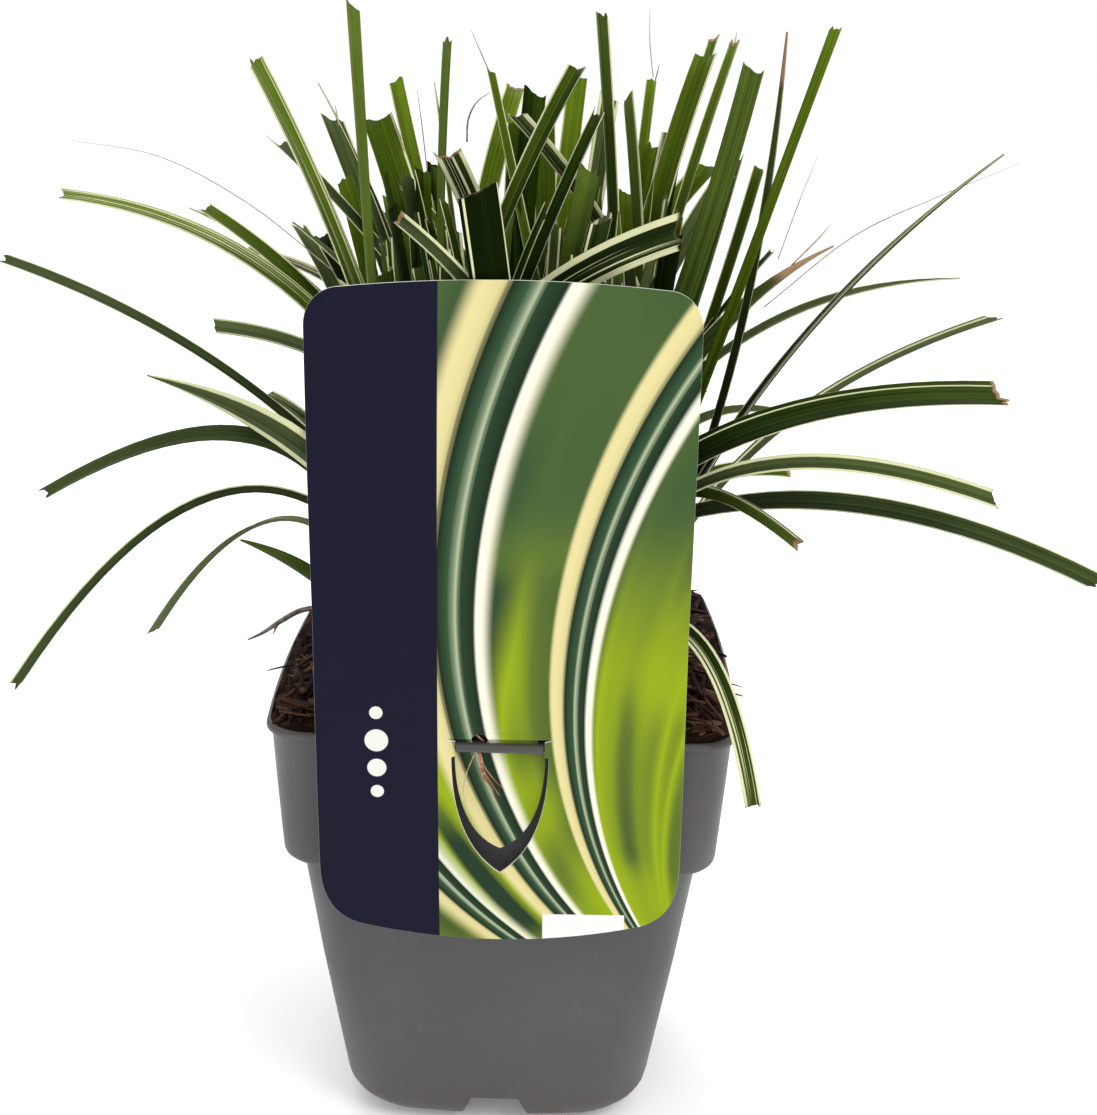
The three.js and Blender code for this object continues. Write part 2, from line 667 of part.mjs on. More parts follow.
// No blade stands in front of the card, where it would hide the print.
const cardFace = box(-CARD_WIDE / 2 - 3, CARD_WIDE / 2 + 3, -200, CARD_FRONT + 3, 60, 215);
const clump = growClump([potSolid, soilBlock, cardSolid, cardFace]);
const holes = clump.map((shoot) => sheath(shoot.place, GAP + 0.1, SHEATH_ABOVE));
const soilSolid = holes.reduce((soil, hole) => soil.subtract(hole), soilBlock);

addMesh("pot", potSolid, greyPlastic);
addMesh("soil", soilSolid, barkMix);
addMesh("plant_label", cardSolid, printedCard);
clump.forEach((shoot, index) => {
  const name = `shoot_${String(index + 1).padStart(2, "0")}`;
  addMesh(name, oneBody(joined(shoot.solids)), sedgeGreen);
});

export default group;
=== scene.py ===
"""Potted carex sedge: the finish of its pot, soil, plant card and blades, as a Blender add-on.

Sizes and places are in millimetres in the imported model's frame, and are turned to metres where a
mesh is made. Materials, lights and the settings in the sidebar count in metres.
"""

import math
import random

import bmesh
import bpy
from bpy.props import FloatProperty, FloatVectorProperty, IntProperty, PointerProperty
from mathutils import Matrix, Quaternion, Vector, noise
from mathutils.bvhtree import BVHTree


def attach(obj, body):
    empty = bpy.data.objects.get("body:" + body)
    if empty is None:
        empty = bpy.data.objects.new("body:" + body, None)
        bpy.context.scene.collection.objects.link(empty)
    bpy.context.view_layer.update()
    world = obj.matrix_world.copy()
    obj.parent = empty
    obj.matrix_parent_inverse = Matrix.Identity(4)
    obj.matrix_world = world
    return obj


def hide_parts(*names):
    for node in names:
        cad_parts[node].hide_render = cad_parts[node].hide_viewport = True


bl_info = {
    "name": "Potted Sedge",
    "version": (1, 0, 0),
    "blender": (4, 5, 0),
    "location": "View3D > Sidebar > Sedge",
    "description": "Dresses a potted carex sedge: pot, soil, plant card, blades and stage",
    "category": "Add Mesh",
}

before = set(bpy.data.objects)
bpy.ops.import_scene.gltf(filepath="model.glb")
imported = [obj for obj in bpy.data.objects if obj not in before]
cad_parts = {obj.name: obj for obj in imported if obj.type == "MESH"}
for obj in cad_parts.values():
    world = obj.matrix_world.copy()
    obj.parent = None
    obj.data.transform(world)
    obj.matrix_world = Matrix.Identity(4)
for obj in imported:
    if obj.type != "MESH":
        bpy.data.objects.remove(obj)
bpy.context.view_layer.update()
MM = 0.001

# The pot's rim, its collar's lower edge and its corners, which grow rounder below FOOT_REACH. Its
# sides bow outwards, a little at the foot and more at the rim.
RIM_TOP = 134.5
COLLAR_LOW = 89
COLLAR_CORNER = 11
BODY_CORNER = 13
FOOT_CORNER_MORE = 8
FOOT_REACH = 45
FOOT_BOW = 1.2
RIM_BOW_MORE = 0.8
SIDE_STEPS = 10
CORNER_STEPS = 9

# Half widths and heights of the pot's skin.
POT_PROFILE = [
    # from under the floor out round the foot
    (31.2, 3.6), (31.4, 0.3), (31.8, 0.0), (34.9, 0.0), (38.0, 0.4),
    (40.9, 1.6), (43.4, 3.5), (45.3, 6.0), (46.5, 8.9), (47.0, 12.0),
    # up the body and out under the collar
    (49.1, 30.0), (52.6, 57.0), (56.6, 90.2), (56.9, 91.4), (57.5, 92.0),
    (58.3, 92.4), (59.4, 92.9), (60.4, 93.5), (61.1, 94.4), (61.4, 95.5),
    # up the collar and over the lip
    (62.0, 104.0), (62.9, 118.0), (63.7, 131.6), (63.9, 132.1), (64.5, 132.3), (64.9, 132.6),
    (65.0, 133.2), (64.9, 134.0), (64.5, 134.4), (63.9, 134.5), (62.9, 134.4), (62.5, 133.9),
    # down the inside to the floor
    (61.6, 118.0), (60.1, 96.2), (59.5, 94.9), (57.8, 94.1), (55.8, 93.2),
    (55.3, 92.2), (47.4, 30.0), (44.9, 8.0), (43.9, 6.2), (42.6, 5.4),
]

# Two channels cross under the floor, which is raised over them, so the pot stands on four feet. The
# blocks for each: half width, half length, lower and upper face, how many times as broad and as long
# the lower face is, and whether the block is added or cut away.
CHANNELS = [
    (9.6, 45.6, 5.0, 12.8, 1.0, 0.975, "UNION"),
    (7.0, 70.0, -2.0, 11.2, 1.7, 1.0, "DIFFERENCE"),
]
DRAIN_OUT = 26
DRAIN_RADIUS = 4

# The label bar, and the two posts that hold it off the rim: how far forward and how high, from and to.
BAR = ((-68.8, 133.2), (-67, 135.4))
POST = ((-67.5, 133.2), (-64.1, 134.3))
POST_WIDE = 1.2

# The soil: half widths and heights of its side, how far it heaps out over the rim, and its rings
# from there to the middle. Its bank's place is counted in shares of SOIL_HALF: it rises over
# BANK_SLOPE and falls off again over BANK_FALL.
SOIL_SIDE = [
    (42.2, 13.0), (45.1, 14.0), (55.1, 92.9), (58.1, 94.9),
    (59.8, 96.4), (61.8, 128), (62.3, 133.8), (62.7, 134.6),
]
SOIL_OVER_RIM = 64.0
SOIL_RINGS = 33
SOIL_HALF = 60
BANK_SLOPE = (0.62, 0.85)
BANK_FALL = (0.88, 1.0)

# Bark strands: how long and how wide they may be, and their shades from dark to pale.
STRAND_LENGTHS = (4, 6, 9, 13, 18, 24)
STRAND_WIDTHS = (0.35, 0.45, 0.6, 0.9, 1.4, 2.2)
STRAND_SHADES = (0.05, 0.15, 0.25, 0.4, 0.55, 0.7, 0.9)
STRAND_STEPS = 5

# The plant card: its face at the height BEND_Z, and how fast it leans back from there. The tongue
# leaves the card at TONGUE_TOP, is behind the bar at HOOK_Z and leans back from TONGUE_BEND down.
CARD_FRONT = -68.4
CARD_BEND = 0.00078
BEND_Z = 115
TONGUE_FRONT = -66.7
TONGUE_TOP = 138
HOOK_Z = 136
TONGUE_BEND = 131.6
HOLE_PLACE = (-5.3, 136.1)
HOLE_RADIUS = 2.2
SHEET_COLUMNS = 24
SHEET_ROWS = 60
CARD_EASE = 0.32

# A blade's faces across and along, and how deep its fold is as a share of its half width.
BLADE_COLUMNS = 8
BLADE_ROWS = 30
FOLD_DEPTH = 0.26

# The corners of a packed blade's section: place across, whether the fold lifts it, and thickness.
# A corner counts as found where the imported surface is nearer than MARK_REACH.
MARKS = ((-1, 1, 0.62), (0, 0, 0.8), (1, 1, 0.62), (1, 1, -0.62), (0, 0, -0.8), (-1, 1, -0.62))
MARK_REACH = 0.06

# A sheath's length, how much of it is below the crown, and its radii.
SHEATH_LONG = 22
SHEATH_BELOW = 15
SHEATH_FOOT = 3.5
SHEATH_TOP = 2.7

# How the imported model's blades were grown: the seed, the rounds and the most for one shoot.
GROWTH_SEED = 20110
ROUNDS = 240
MOST_BLADES = 8

# Seeds of the draws for the strands and for the blades' finish.
STRAND_SEED = 418
FINISH_SEED = 77

# Lamps: name, place, the point that they shine on, size and power, and the floor's radius and
# height, all in metres. Then the frame's longer side in pixels and the camera's sensor.
LAMPS = [
    ("key", (0.75, -0.85, 1.25), (0, 0, 0.15), 0.7, 7),
    ("back", (-0.25, 1.1, 1.1), (0, 0, 0.22), 0.8, 6),
]
FLOOR_RADIUS = 14.0
FLOOR_HEIGHT = -0.0003
FRAME_SIDE = 1115
SENSOR = 36

# Each blade by its shoot, its cut tip, how far its middle stands over the straight line from
# crown to tip, its width and how far it turns by the tip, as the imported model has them. Then comes
# its look: a letter from LOOKS, with p for a pointed end, t for a dried end, n for no margins, and l
# or r where only the left or the right edge has one. Last, how many times as broad as the packed
# blade the finished one is.
NAMED_BLADES = [
    # the broadest and furthest, which take their room first
    (12, -1, -10, 289, 27, 7, 30, "s", 1.0),
    (20, 21, -10, 290, 6, 6, 20, "d", 1.0),
    (21, 15, -30, 302, 12, 7, 50, "hl", 1.0),
    (13, 52, 30, 305, 12, 8, 0, "gr", 1.25),
    (12, 70, 0, 312, -9, 5, 15, "wp", 1.3),
    (12, 20, -10, 315, 3, 7, -10, "g", 1.0),
    (26, 92, 30, 253, 30, 7, 10, "wp", 1.0),
    (0, 150, -60, 181, 35, 9, 20, "o", 1.0),
    (6, -149, 20, 243, 18, 8, -10, "or", 0.85),
    (11, 135, 50, 242, 36, 5, 10, "up", 1.0),
    (20, 39, -60, 266, 30, 10, -90, "v", 0.95),
    (1, 106, -110, 239, 23, 10, -40, "drt", 1.0),
    (23, -8, -60, 274, -4, 11, 30, "k", 1.0),
    (26, 74, -60, 189, 33, 4, -90, "gt", 1.0),
    # left, from the top down
    (8, -39, -50, 315, -3, 7, -30, "bn", 0.8),
    (7, -73, 10, 300, 9, 7, -20, "f", 1.2),
    (6, -66, 80, 293, 18, 6, 40, "dp", 1.0),
    (5, -62, 80, 282, 3, 7, 0, "ur", 1.3),
    (2, -44, 50, 284, 12, 8, -20, "gr", 1.3),
    (4, -39, 50, 295, -3, 8, 0, "bl", 0.9),
    (2, -69, 20, 278, 15, 10, 0, "o", 1.0),
    (1, -70, 50, 253, 21, 6, 0, "up", 1.0),
    (5, -90, 80, 240, 39, 4, -30, "v", 1.0),
    (6, -146, 70, 257, 39, 6, -30, "z", 1.0),
    (6, -99, 60, 255, 21, 8, -10, "g", 1.0),
    (6, -113, 100, 251, 24, 5, 0, "dp", 1.0),
    (7, -93, 40, 222, 36, 6, 70, "u", 1.0),
    (10, -83, -80, 232, 18, 10, 40, "qp", 1.0),
    (7, -81, 60, 197, 18, 5, -10, "s", 1.0),
    (8, -93, -120, 214, 36, 5, 60, "on", 1.0),
    (8, -126, -60, 145, 53, 8, 40, "o", 0.9),
    (22, -102, -10, 142, 41, 9, 10, "yn", 0.8),
    (8, -72, -35, 178, 5, 11, 30, "gpn", 1.0),
    # middle
    (8, -20, -10, 307, -6, 9, -10, "bn", 1.0),
    (16, -30, 90, 294, 0, 6, 50, "gp", 0.85),
    (12, -10, 40, 299, 0, 5, 0, "gr", 0.8),
    (6, -4, 90, 293, 27, 7, 20, "bt", 1.0),
    (12, -17, -30, 280, 24, 6, 30, "vt", 1.25),
    (13, -34, 30, 266, 15, 9, -15, "grt", 0.85),
    (24, -27, -60, 267, 26, 5, 30, "qt", 1.1),
    (11, 28, 0, 294, -3, 8, 20, "br", 1.0),
    (10, 19, -30, 277, 0, 9, -10, "gn", 0.85),
    (5, 16, 90, 297, 0, 7, 10, "b", 1.0),
    (10, 8, -30, 266, 8, 8, 0, "d", 1.0),
    (15, 25, 110, 285, 6, 5, -50, "d", 1.0),
    # right, from the top down
    (4, 39, 70, 297, 0, 7, -30, "bl", 0.8),
    (15, 60, 100, 310, 3, 6, -10, "gt", 0.75),
    (4, 63, 60, 309, 6, 9, -20, "bt", 0.8),
    (25, 57, -40, 303, -6, 6, -90, "gn", 1.0),
    (12, 83, 0, 313, 0, 6, 18, "bn", 0.7),
    (0, 53, 70, 272, 18, 8, 30, "gl", 1.0),
    (4, 65, 90, 267, 12, 7, 20, "ul", 1.0),
    (12, 68, 20, 275, -3, 8, 25, "gl", 0.8),
    (14, 71, 100, 272, -3, 7, -40, "g", 1.0),
    (13, 128, -10, 283, 15, 11, -10, "dp", 1.0),
    (12, 73, 20, 252, 6, 5, 10, "d", 1.0),
    (3, 122, -40, 244, 18, 8, -20, "u", 1.0),
    (4, 86, 40, 182, 24, 6, 50, "gt", 1.0),
    (10, 122, -60, 202, 36, 8, 20, "q", 1.0),
    (4, 96, 90, 187, 33, 4, 30, "u", 1.0),
    (24, 66, -70, 121, 39, 5, 40, "s", 1.0),
    # back
    (16, -14, 123, 214, 34, 10, 10, "g", 1.0),
    (14, 62, 108, 190, 40, 9, -20, "s", 1.0),
    (18, -70, 104, 186, 42, 10, 20, "d", 1.0),
]

# Looks by letter: tone from near black to bright green, which is painted light and shade, bright for a blade
# lit from behind and near black for a shaded one, width of the pale margins as a share of the half width,
# strength of the pale lines inside, greyness, which is partly painted sheen, and length of the dried end in
# mm.
LOOKS = {
    "k": (-0.15, 0.07, 0.00, 0.0, 0.3),
    "d": (0.22, 0.13, 0.12, 0.0, 0.2),
    "h": (0.36, 0.14, 0.30, 0.1, 0.2),
    "g": (0.50, 0.15, 0.30, 0.0, 0.2),
    "b": (0.74, 0.14, 0.20, 0.0, 0.2),
    "f": (0.78, 0.19, 0.75, 0.1, 0.2),
    "u": (0.50, 0.15, 0.30, 0.8, 0.2),
    "z": (0.90, 0.22, 1.00, 0.2, 0.2),
    "y": (1.00, 0.18, 0.35, 1.0, 0.2),
    "o": (0.32, 0.10, 0.12, 0.6, 0.2),
    "q": (0.42, 0.34, 0.35, 0.7, 0.3),
    "s": (0.34, 0.34, 0.80, 0.1, 0.3),
    "v": (0.06, 0.30, 1.00, 0.1, 0.4),
    "w": (0.42, 0.12, 0.20, 0.3, 17.0),
}

# Strands that reach over the rim: start, azimuth, rise for each mm of run, length, width, shade.
STRAY_STRANDS = [
    (-60, -18, 214, 0.06, 9, 0.6, 0.15),
    (56, 5, -30, 0.10, 11, 1.5, 0.20),
    (53, -5, -58, 0.02, 14, 3.0, 0.86),
    (58, -12, -60, 0.08, 9, 1.2, 0.70),
    (60, -22, -20, 0.12, 8, 0.45, 0.10),
    (61, -29, -10, 0.10, 6, 0.6, 0.15),
    (51, 30, 24, 0.06, 13, 0.9, 0.60),
    (-12, -53, 262, 0.10, 8, 0.7, 0.80),
]

# Dry hairs, roots and a twig: shade, thickness, then the places that each one passes.
HAIRS = [
    (0.66, 0.36, [(-142, 70, 274), (-112, 60, 270.5), (-83, 50, 258), (-55, 30, 241.5)]),
    (0.50, 0.30, [(-15.7, 40, 310.3), (-13.1, 40, 304.8), (-10.4, 40, 299.2)]),
    (0.52, 0.60, [(-10.4, 50, 292.9), (-14.5, 50, 289.7), (-16.8, 50, 284.7), (-17.1, 50, 278.3)]),
    (0.35, 0.30, [(-29.5, 20, 294.4), (-28.1, 20, 284.5), (-26.3, 20, 270)]),
    (0.60, 0.32, [(37, 70, 318), (37.5, 70, 308), (39, 70, 298)]),
    (0.45, 0.40, [(40.6, 70, 301.8), (40.2, 70, 299.5), (39.4, 70, 296)]),
    (0.60, 0.36, [(141, 20, 279), (118, 15, 269.6), (94, 10, 258.4), (69, 0, 239.4)]),
    (0.60, 0.30, [(84, 20, 280), (79.6, 20, 267), (74.6, 20, 250)]),
    (0.85, 0.50, [(90.4, 30, 259.1), (87.5, 30, 255.3), (80, 30, 247)]),
    (0.85, 0.45, [(62.9, 60, 312), (62.6, 60, 310), (62.2, 60, 307)]),
    (0.80, 0.50, [(-60.6, 80, 286.6), (-60.2, 80, 283.5), (-59.6, 80, 279)]),
    # the twig at the left of the rim, with its spur
    (0.58, 1.80, [(-76.8, -5, 137.6), (-73, 0, 138.2), (-68.5, 6, 139.9), (-64, 13, 140.6), (-57, 22, 139)]),
    (0.50, 0.80, [(-70.5, 1, 137.2), (-70.0, 3, 138.4), (-69.2, 5, 139.7)]),
    (0.70, 0.90, [(-62, 8, 142.5), (-60, 13, 141.2), (-56, 20, 138)]),
    # roots that come out round the hook
    (1.00, 0.50, [(-2.0, -68.2, 123.5), (-3.6, -68.4, 126), (-4.6, -68.6, 129.5), (-5.2, -68.3, 133.2)]),
    (1.00, 0.45, [(0.3, -68.0, 120.6), (-2.0, -68.4, 124.5), (-4.2, -68.7, 128.5), (-5.0, -68.4, 133)]),
    (0.97, 0.40, [(-1.0, -68.0, 119.6), (-1.9, -68.3, 123), (-4.4, -68.6, 127), (-5.6, -68.4, 132.6)]),
    (1.00, 0.60, [(-5.6, -68.0, 127.4), (-4.6, -68.5, 129.5), (-5.4, -68.5, 132), (-6.6, -68.2, 134)]),
    (0.97, 0.35, [(1.6, -67.9, 122.4), (-1.2, -68.4, 125.4), (-4.0, -68.6, 129.6), (-4.8, -68.3, 132.8)]),
    (0.85, 0.35, [(-8.6, -68.2, 118.8), (-9.3, -68.4, 122.4), (-8.4, -68.6, 127.5), (-6.6, -68.4, 132.4)]),
    (0.95, 0.60, [(-8.5, -66.6, 139.4), (-6.8, -66.8, 138.2), (-5.6, -66.7, 136.8), (-4.4, -66, 135.4)]),
]

# Rings of shoots: distance from the pot's axis, number of shoots, and the first one's azimuth.
SHOOT_RINGS = [(8, 3, 90), (20, 9, 10), (33, 15, 0)]


# ------------------------------------------------------------------ settings


def length_property(name, description, default):
    return FloatProperty(name=name, description=description, default=default * MM, unit="LENGTH", precision=5)


def angle_property(name, description, degrees):
    return FloatProperty(name=name, description=description, default=math.radians(degrees), subtype="ANGLE")


def count_property(name, description, default):
    return IntProperty(name=name, description=description, default=default, min=0)


def strength_property(name, description, default):
    return FloatProperty(name=name, description=description, default=default, min=0.0)


def colour_property(name, description, default):
    return FloatVectorProperty(
        name=name, description=description, default=default, subtype="COLOR", size=3, min=0.0, max=1.0
    )


class SedgePotSettings(bpy.types.PropertyGroup):
    """Sizes and colour of the moulded pot."""

    bar_wide: length_property("Label bar", "Width of the bar that the card hangs on", 22.6)
    plastic: colour_property("Plastic", "Colour of the plastic", (0.086, 0.082, 0.086))


class SedgeSoilSettings(bpy.types.PropertyGroup):
    """The potting mix and the fibres on it."""

    middle_height: length_property("Middle height", "Height of the soil between the shoots", 129)
    bank_height: length_property("Bank height", "Height of the bank inside the wall", 136.5)
    edge_height: length_property("Edge height", "Height of the soil at the wall", 135)
    strands: count_property("Strands", "Bark strands that lie on the soil", 2000)
    bank_strands: count_property("Bank strands", "Strands on the bank at the sides", 1200)
    bark: colour_property("Bark", "Colour of moist bark", (0.075, 0.028, 0.016))


class SedgeCardSettings(bpy.types.PropertyGroup):
    """The plant card that hangs on the rim."""

    wide: length_property("Width", "Width of the card's lower part", 95.2)
    flare: length_property("Flare", "How much further out each side stands at the top", 1.4)
    low: length_property("Foot", "Height of the card's lower edge", 78.0)
    high: length_property("Top", "Height of the card's upper edge", 252.6)
    top_rise: length_property("Top rise", "How far the top edge's middle stands over its corners", 2)
    roll: angle_property("Roll", "How far the card hangs askew", 0.9)
    thick: length_property("Thickness", "Thickness of the card", 0.6)
    panel: colour_property("Panel", "Colour of the plain side panel", (0.0100, 0.0095, 0.0240))
    leaf_light: colour_property("Light green", "Light green of the print", (0.28, 0.38, 0.010))
    leaf_dark: colour_property("Dark green", "Dark green of the print", (0.024, 0.055, 0.026))
    dots: colour_property("Dots", "Colour of the printed dots", (0.74, 0.76, 0.70))


class SedgeClumpSettings(bpy.types.PropertyGroup):
    """The blades and sheaths."""

    thick: length_property("Blade thickness", "Thickness of a blade", 0.4)
    crown: length_property("Crown height", "Height at which blades part from their sheath", 132)
    fresh: colour_property("Fresh green", "Colour of a blade lit from behind", (0.130, 0.200, 0.010))
    deep: colour_property("Deep green", "Colour of a shaded blade", (0.0105, 0.0265, 0.0008))
    cream: colour_property("Cream", "Colour of the margins", (0.86, 0.86, 0.52))
    dry: colour_property("Dry", "Colour of dried ends", (0.40, 0.25, 0.14))
    young: count_property("Young blades", "Short inner blades of each shoot", 3)
    # Grey green: a greyer underside on some blades, and painted sheen that stands for reflected light on
    # others.
    grey: colour_property("Grey green", "Colour of a bloomed, greyish blade", (0.088, 0.112, 0.050))


class SedgeStageSettings(bpy.types.PropertyGroup):
    """Camera, floor and lights."""

    distance: length_property("Distance", "Camera to the point that it looks at", 466)
    aim_side: length_property("Aim sideways", "Sideways place of that point", 11.1)
    aim_height: length_property("Aim height", "Height of that point", 164.2)
    elevation: angle_property("Elevation", "Camera above the horizon", 18.2)
    roll: angle_property("Roll", "Camera roll", 1.7)
    focal_pixels: FloatProperty(name="Focal length", description="In pixels of the frame", default=1591.0)
    floor: colour_property("Floor", "Colour of the floor", (0.97, 0.97, 0.97))
    glow: strength_property("Glow", "Light that the floor gives of itself", 0.12)
    surround: strength_property("Surround", "Strength of the white surround", 1.0)


# ------------------------------------------------------------------ node helpers


def feed(tree, node, inputs):
    """Sets a node's inputs: each is given a value, or linked to another node's socket."""
    for key, value in inputs.items():
        if isinstance(value, bpy.types.NodeSocket):
            tree.links.new(value, node.inputs[key])
        else:
            node.inputs[key].default_value = value


def step(tree, kind, inputs=None, **settings):
    """One shader node with its settings and inputs."""
    made = tree.nodes.new("ShaderNode" + kind)
    for key, value in settings.items():
        setattr(made, key, value)
    feed(tree, made, inputs or {})
    return made


def calc(tree, operation, first, second=0.0, third=0.0, clamp=False):
    inputs = {0: first, 1: second, 2: third}
    return step(tree, "Math", inputs, operation=operation, use_clamp=clamp).outputs[0]


def plus(tree, first, second):
    return calc(tree, "ADD", first, second)


def minus(tree, first, second):
    return calc(tree, "SUBTRACT", first, second)


def times(tree, first, second):
    return calc(tree, "MULTIPLY", first, second)


def times_plus(tree, first, second, third, clamp=False):
    return calc(tree, "MULTIPLY_ADD", first, second, third, clamp)


def length_of(tree, across, up):
    return calc(tree, "SQRT", plus(tree, times(tree, across, across), times(tree, up, up)))


def sway(tree, base, value, middle, strength, clamp=False):
    """The base, moved up or down as value is over or under its middle."""
    return times_plus(tree, minus(tree, value, middle), strength, base, clamp)


def blend(tree, factor, first, second):
    return step(tree, "Mix", {0: factor, 6: first, 7: second}, data_type="RGBA").outputs[2]


def rise(tree, value, low, high, start=0.0, end=1.0):
    """A smooth step of value from low to high."""
    inputs = {"Value": value, "From Min": low, "From Max": high, "To Min": start, "To Max": end}
    return step(tree, "MapRange", inputs, interpolation_type="SMOOTHSTEP").outputs[0]


def near(tree, value, middle, outer, inner=0.0):
    """1 where value is at its middle, 0 where it is further away than outer."""
    return rise(tree, calc(tree, "ABSOLUTE", minus(tree, value, middle)), outer, inner)


def cloud(tree, vector, scale, detail=3.0, roughness=0.5):
    inputs = {"Vector": vector, "Scale": scale, "Detail": detail, "Roughness": roughness}
    return step(tree, "TexNoise", inputs).outputs["Fac"]


def ramp(tree, factor, stops):
    made = step(tree, "ValToRGB", {"Fac": factor})
    elements = made.color_ramp.elements
    while len(elements) < len(stops):
        elements.new(0.5)
    for element, (place, colour) in zip(elements, stops):
        element.position = place
        element.color = (*colour, 1.0)
    return made.outputs["Color"]


def stretched(tree, vector, scale):
    return step(tree, "Mapping", {"Vector": vector, "Scale": scale}).outputs["Vector"]


def relief(tree, height, strength, distance, normal=None):
    inputs = {"Strength": strength, "Distance": distance, "Height": height}
    if normal is not None:
        inputs["Normal"] = normal
    return step(tree, "Bump", inputs).outputs["Normal"]


def joined(tree, x, y, z=0.0):
    return step(tree, "CombineXYZ", {0: x, 1: y, 2: z}).outputs[0]


def object_place(tree):
    return step(tree, "TexCoord").outputs["Object"]


def map_axes(tree, uv_map):
    """The axes of one of a piece's own UV maps."""
    return step(tree, "SeparateXYZ", {0: step(tree, "UVMap", uv_map=uv_map).outputs["UV"]}).outputs


def parts_of(tree, attribute):
    """Four values that the mesh carries in one colour attribute."""
    found = step(tree, "Attribute", attribute_name=attribute).outputs
    return [*step(tree, "SeparateColor", {0: found["Color"]}).outputs, found["Alpha"]]


def new_material(name):
    """A material with its Principled shader ready to be set."""
    material = bpy.data.materials.new(name)
    material.use_nodes = True
    tree = material.node_tree
    tree.nodes.clear()
    shader = step(tree, "BsdfPrincipled")
    output = step(tree, "OutputMaterial", {"Surface": shader.outputs[0]})
    output.is_active_output = True
    return material, tree, shader


def dress(tree, shader, colour, normal, roughness, gloss=0.5):
    inputs = {"Base Color": colour, "Normal": normal, "Roughness": roughness, "Specular IOR Level": gloss}
    feed(tree, shader, inputs)


def rgba(colour):
    return (*colour, 1.0)


# ------------------------------------------------------------------ mesh helpers


def polar(azimuth, reach, up=0.0):
    """A place by its azimuth in radians, how far out it is and how high."""
    return Vector((reach * math.cos(azimuth), reach * math.sin(azimuth), up))


def object_of(name, bm):
    """Turns a bmesh into an object in the scene."""
    mesh = bpy.data.meshes.new(name)
    bm.to_mesh(mesh)
    bm.free()
    made = bpy.data.objects.new(name, mesh)
    bpy.context.collection.objects.link(made)
    return made


def new_verts(made):
    """The vertices among what a bmesh operator made."""
    return [item for item in made["geom"] if isinstance(item, bmesh.types.BMVert)]


def finish_piece(name, bm, materials, replaced=()):
    """Turns a bmesh in metres into an object that rides on the root body."""
    for face in bm.faces:
        face.smooth = True
    piece = object_of(name, bm)
    for material in materials:
        piece.data.materials.append(material)
    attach(piece, "root")
    if replaced:
        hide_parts(*replaced)
    return piece


def sharpen(bm, angle):
    """Marks edges sharper than this angle, so broad faces stay flat and rounds stay round."""
    for edge in bm.edges:
        if len(edge.link_faces) == 2 and edge.calc_face_angle(0.0) > angle:
            edge.smooth = False


def plan(half, corner, bow, z):
    """The pot's plan at one height: a square with round corners whose sides bow outwards."""
    straight = half - bow
    reach = straight - corner
    ring = []
    for side in range(4):
        quarter = Matrix.Rotation(side * math.pi / 2, 4, "Z")
        for i in range(SIDE_STEPS):
            along = -reach + 2 * reach * i / SIDE_STEPS
            out = straight + bow * (1 - (along / reach) ** 2)
            ring.append(quarter @ Vector((along, -out, z)))
        for i in range(CORNER_STEPS):
            angle = -math.pi / 2 + math.pi / 2 * i / CORNER_STEPS
            place = Vector((reach + corner * math.cos(angle), -reach + corner * math.sin(angle), z))
            ring.append(quarter @ place)
    return ring


def angle_of(place):
    return math.atan2(place.y, place.x) % (2 * math.pi)


def edges_round(bm, loop):
    return [bm.edges.get(pair) for pair in zip(loop, [*loop[1:], loop[0]])]


def lathe_through(bm, rings):
    """Extrudes a closed loop through rings of places in millimetres, and closes both ends."""
    around = len(rings[0])
    loop = bmesh.ops.create_circle(bm, segments=around, radius=1.0, cap_ends=False)["verts"]
    loop.sort(key=lambda vert: angle_of(vert.co))
    turn = round(angle_of(rings[0][0]) / (2 * math.pi / around))
    loop = loop[turn:] + loop[:turn]
    for vert, place in zip(loop, rings[0]):
        vert.co = place * MM
    ends = [loop]
    for ring in rings[1:]:
        above = {}
        for vert in new_verts(bmesh.ops.extrude_edge_only(bm, edges=edges_round(bm, loop))):
            for edge in vert.link_edges:
                other = edge.other_vert(vert)
                if other in loop:
                    above[other] = vert
        loop = [above[vert] for vert in loop]
        for vert, place in zip(loop, ring):
            vert.co = place * MM
    ends.append(loop)
    for end in ends:
        centre = sum((vert.co for vert in end), Vector()) / around
        tips = new_verts(bmesh.ops.extrude_edge_only(bm, edges=edges_round(bm, end)))
        bmesh.ops.pointmerge(bm, verts=tips, merge_co=centre)
    bmesh.ops.recalc_face_normals(bm, faces=bm.faces[:])


def cut_with(piece, cutter_bm, operation):
    """Cuts or keeps what a bmesh in metres covers, and applies it."""
    cutter = object_of("cutter", cutter_bm)
    modifier = piece.modifiers.new("cut", "BOOLEAN")
    modifier.operation = operation
    modifier.solver = "EXACT"
    modifier.object = cutter
    bpy.context.view_layer.update()
    evaluated = piece.evaluated_get(bpy.context.evaluated_depsgraph_get())
    result = bpy.data.meshes.new_from_object(evaluated)
    piece.modifiers.clear()
    done_with = (piece.data, cutter.data)
    piece.data = result
    bpy.data.objects.remove(cutter)
    for mesh in done_with:
        bpy.data.meshes.remove(mesh)


def add_block(bm, low, high, round_edge=0.0):
    """A box between two corners in millimetres, with rounded edges if asked."""
    low = Vector(low) * MM
    high = Vector(high) * MM
    made = bmesh.ops.create_cube(bm, size=1.0)["verts"]
    bmesh.ops.scale(bm, vec=high - low, verts=made)
    bmesh.ops.translate(bm, vec=(low + high) / 2, verts=made)
    if round_edge > 0:
        edges = list({edge for vert in made for edge in vert.link_edges})
        offset = round_edge * MM
        bmesh.ops.bevel(bm, geom=edges, offset=offset, affect="EDGES", segments=3, profile=0.5, material=-1)


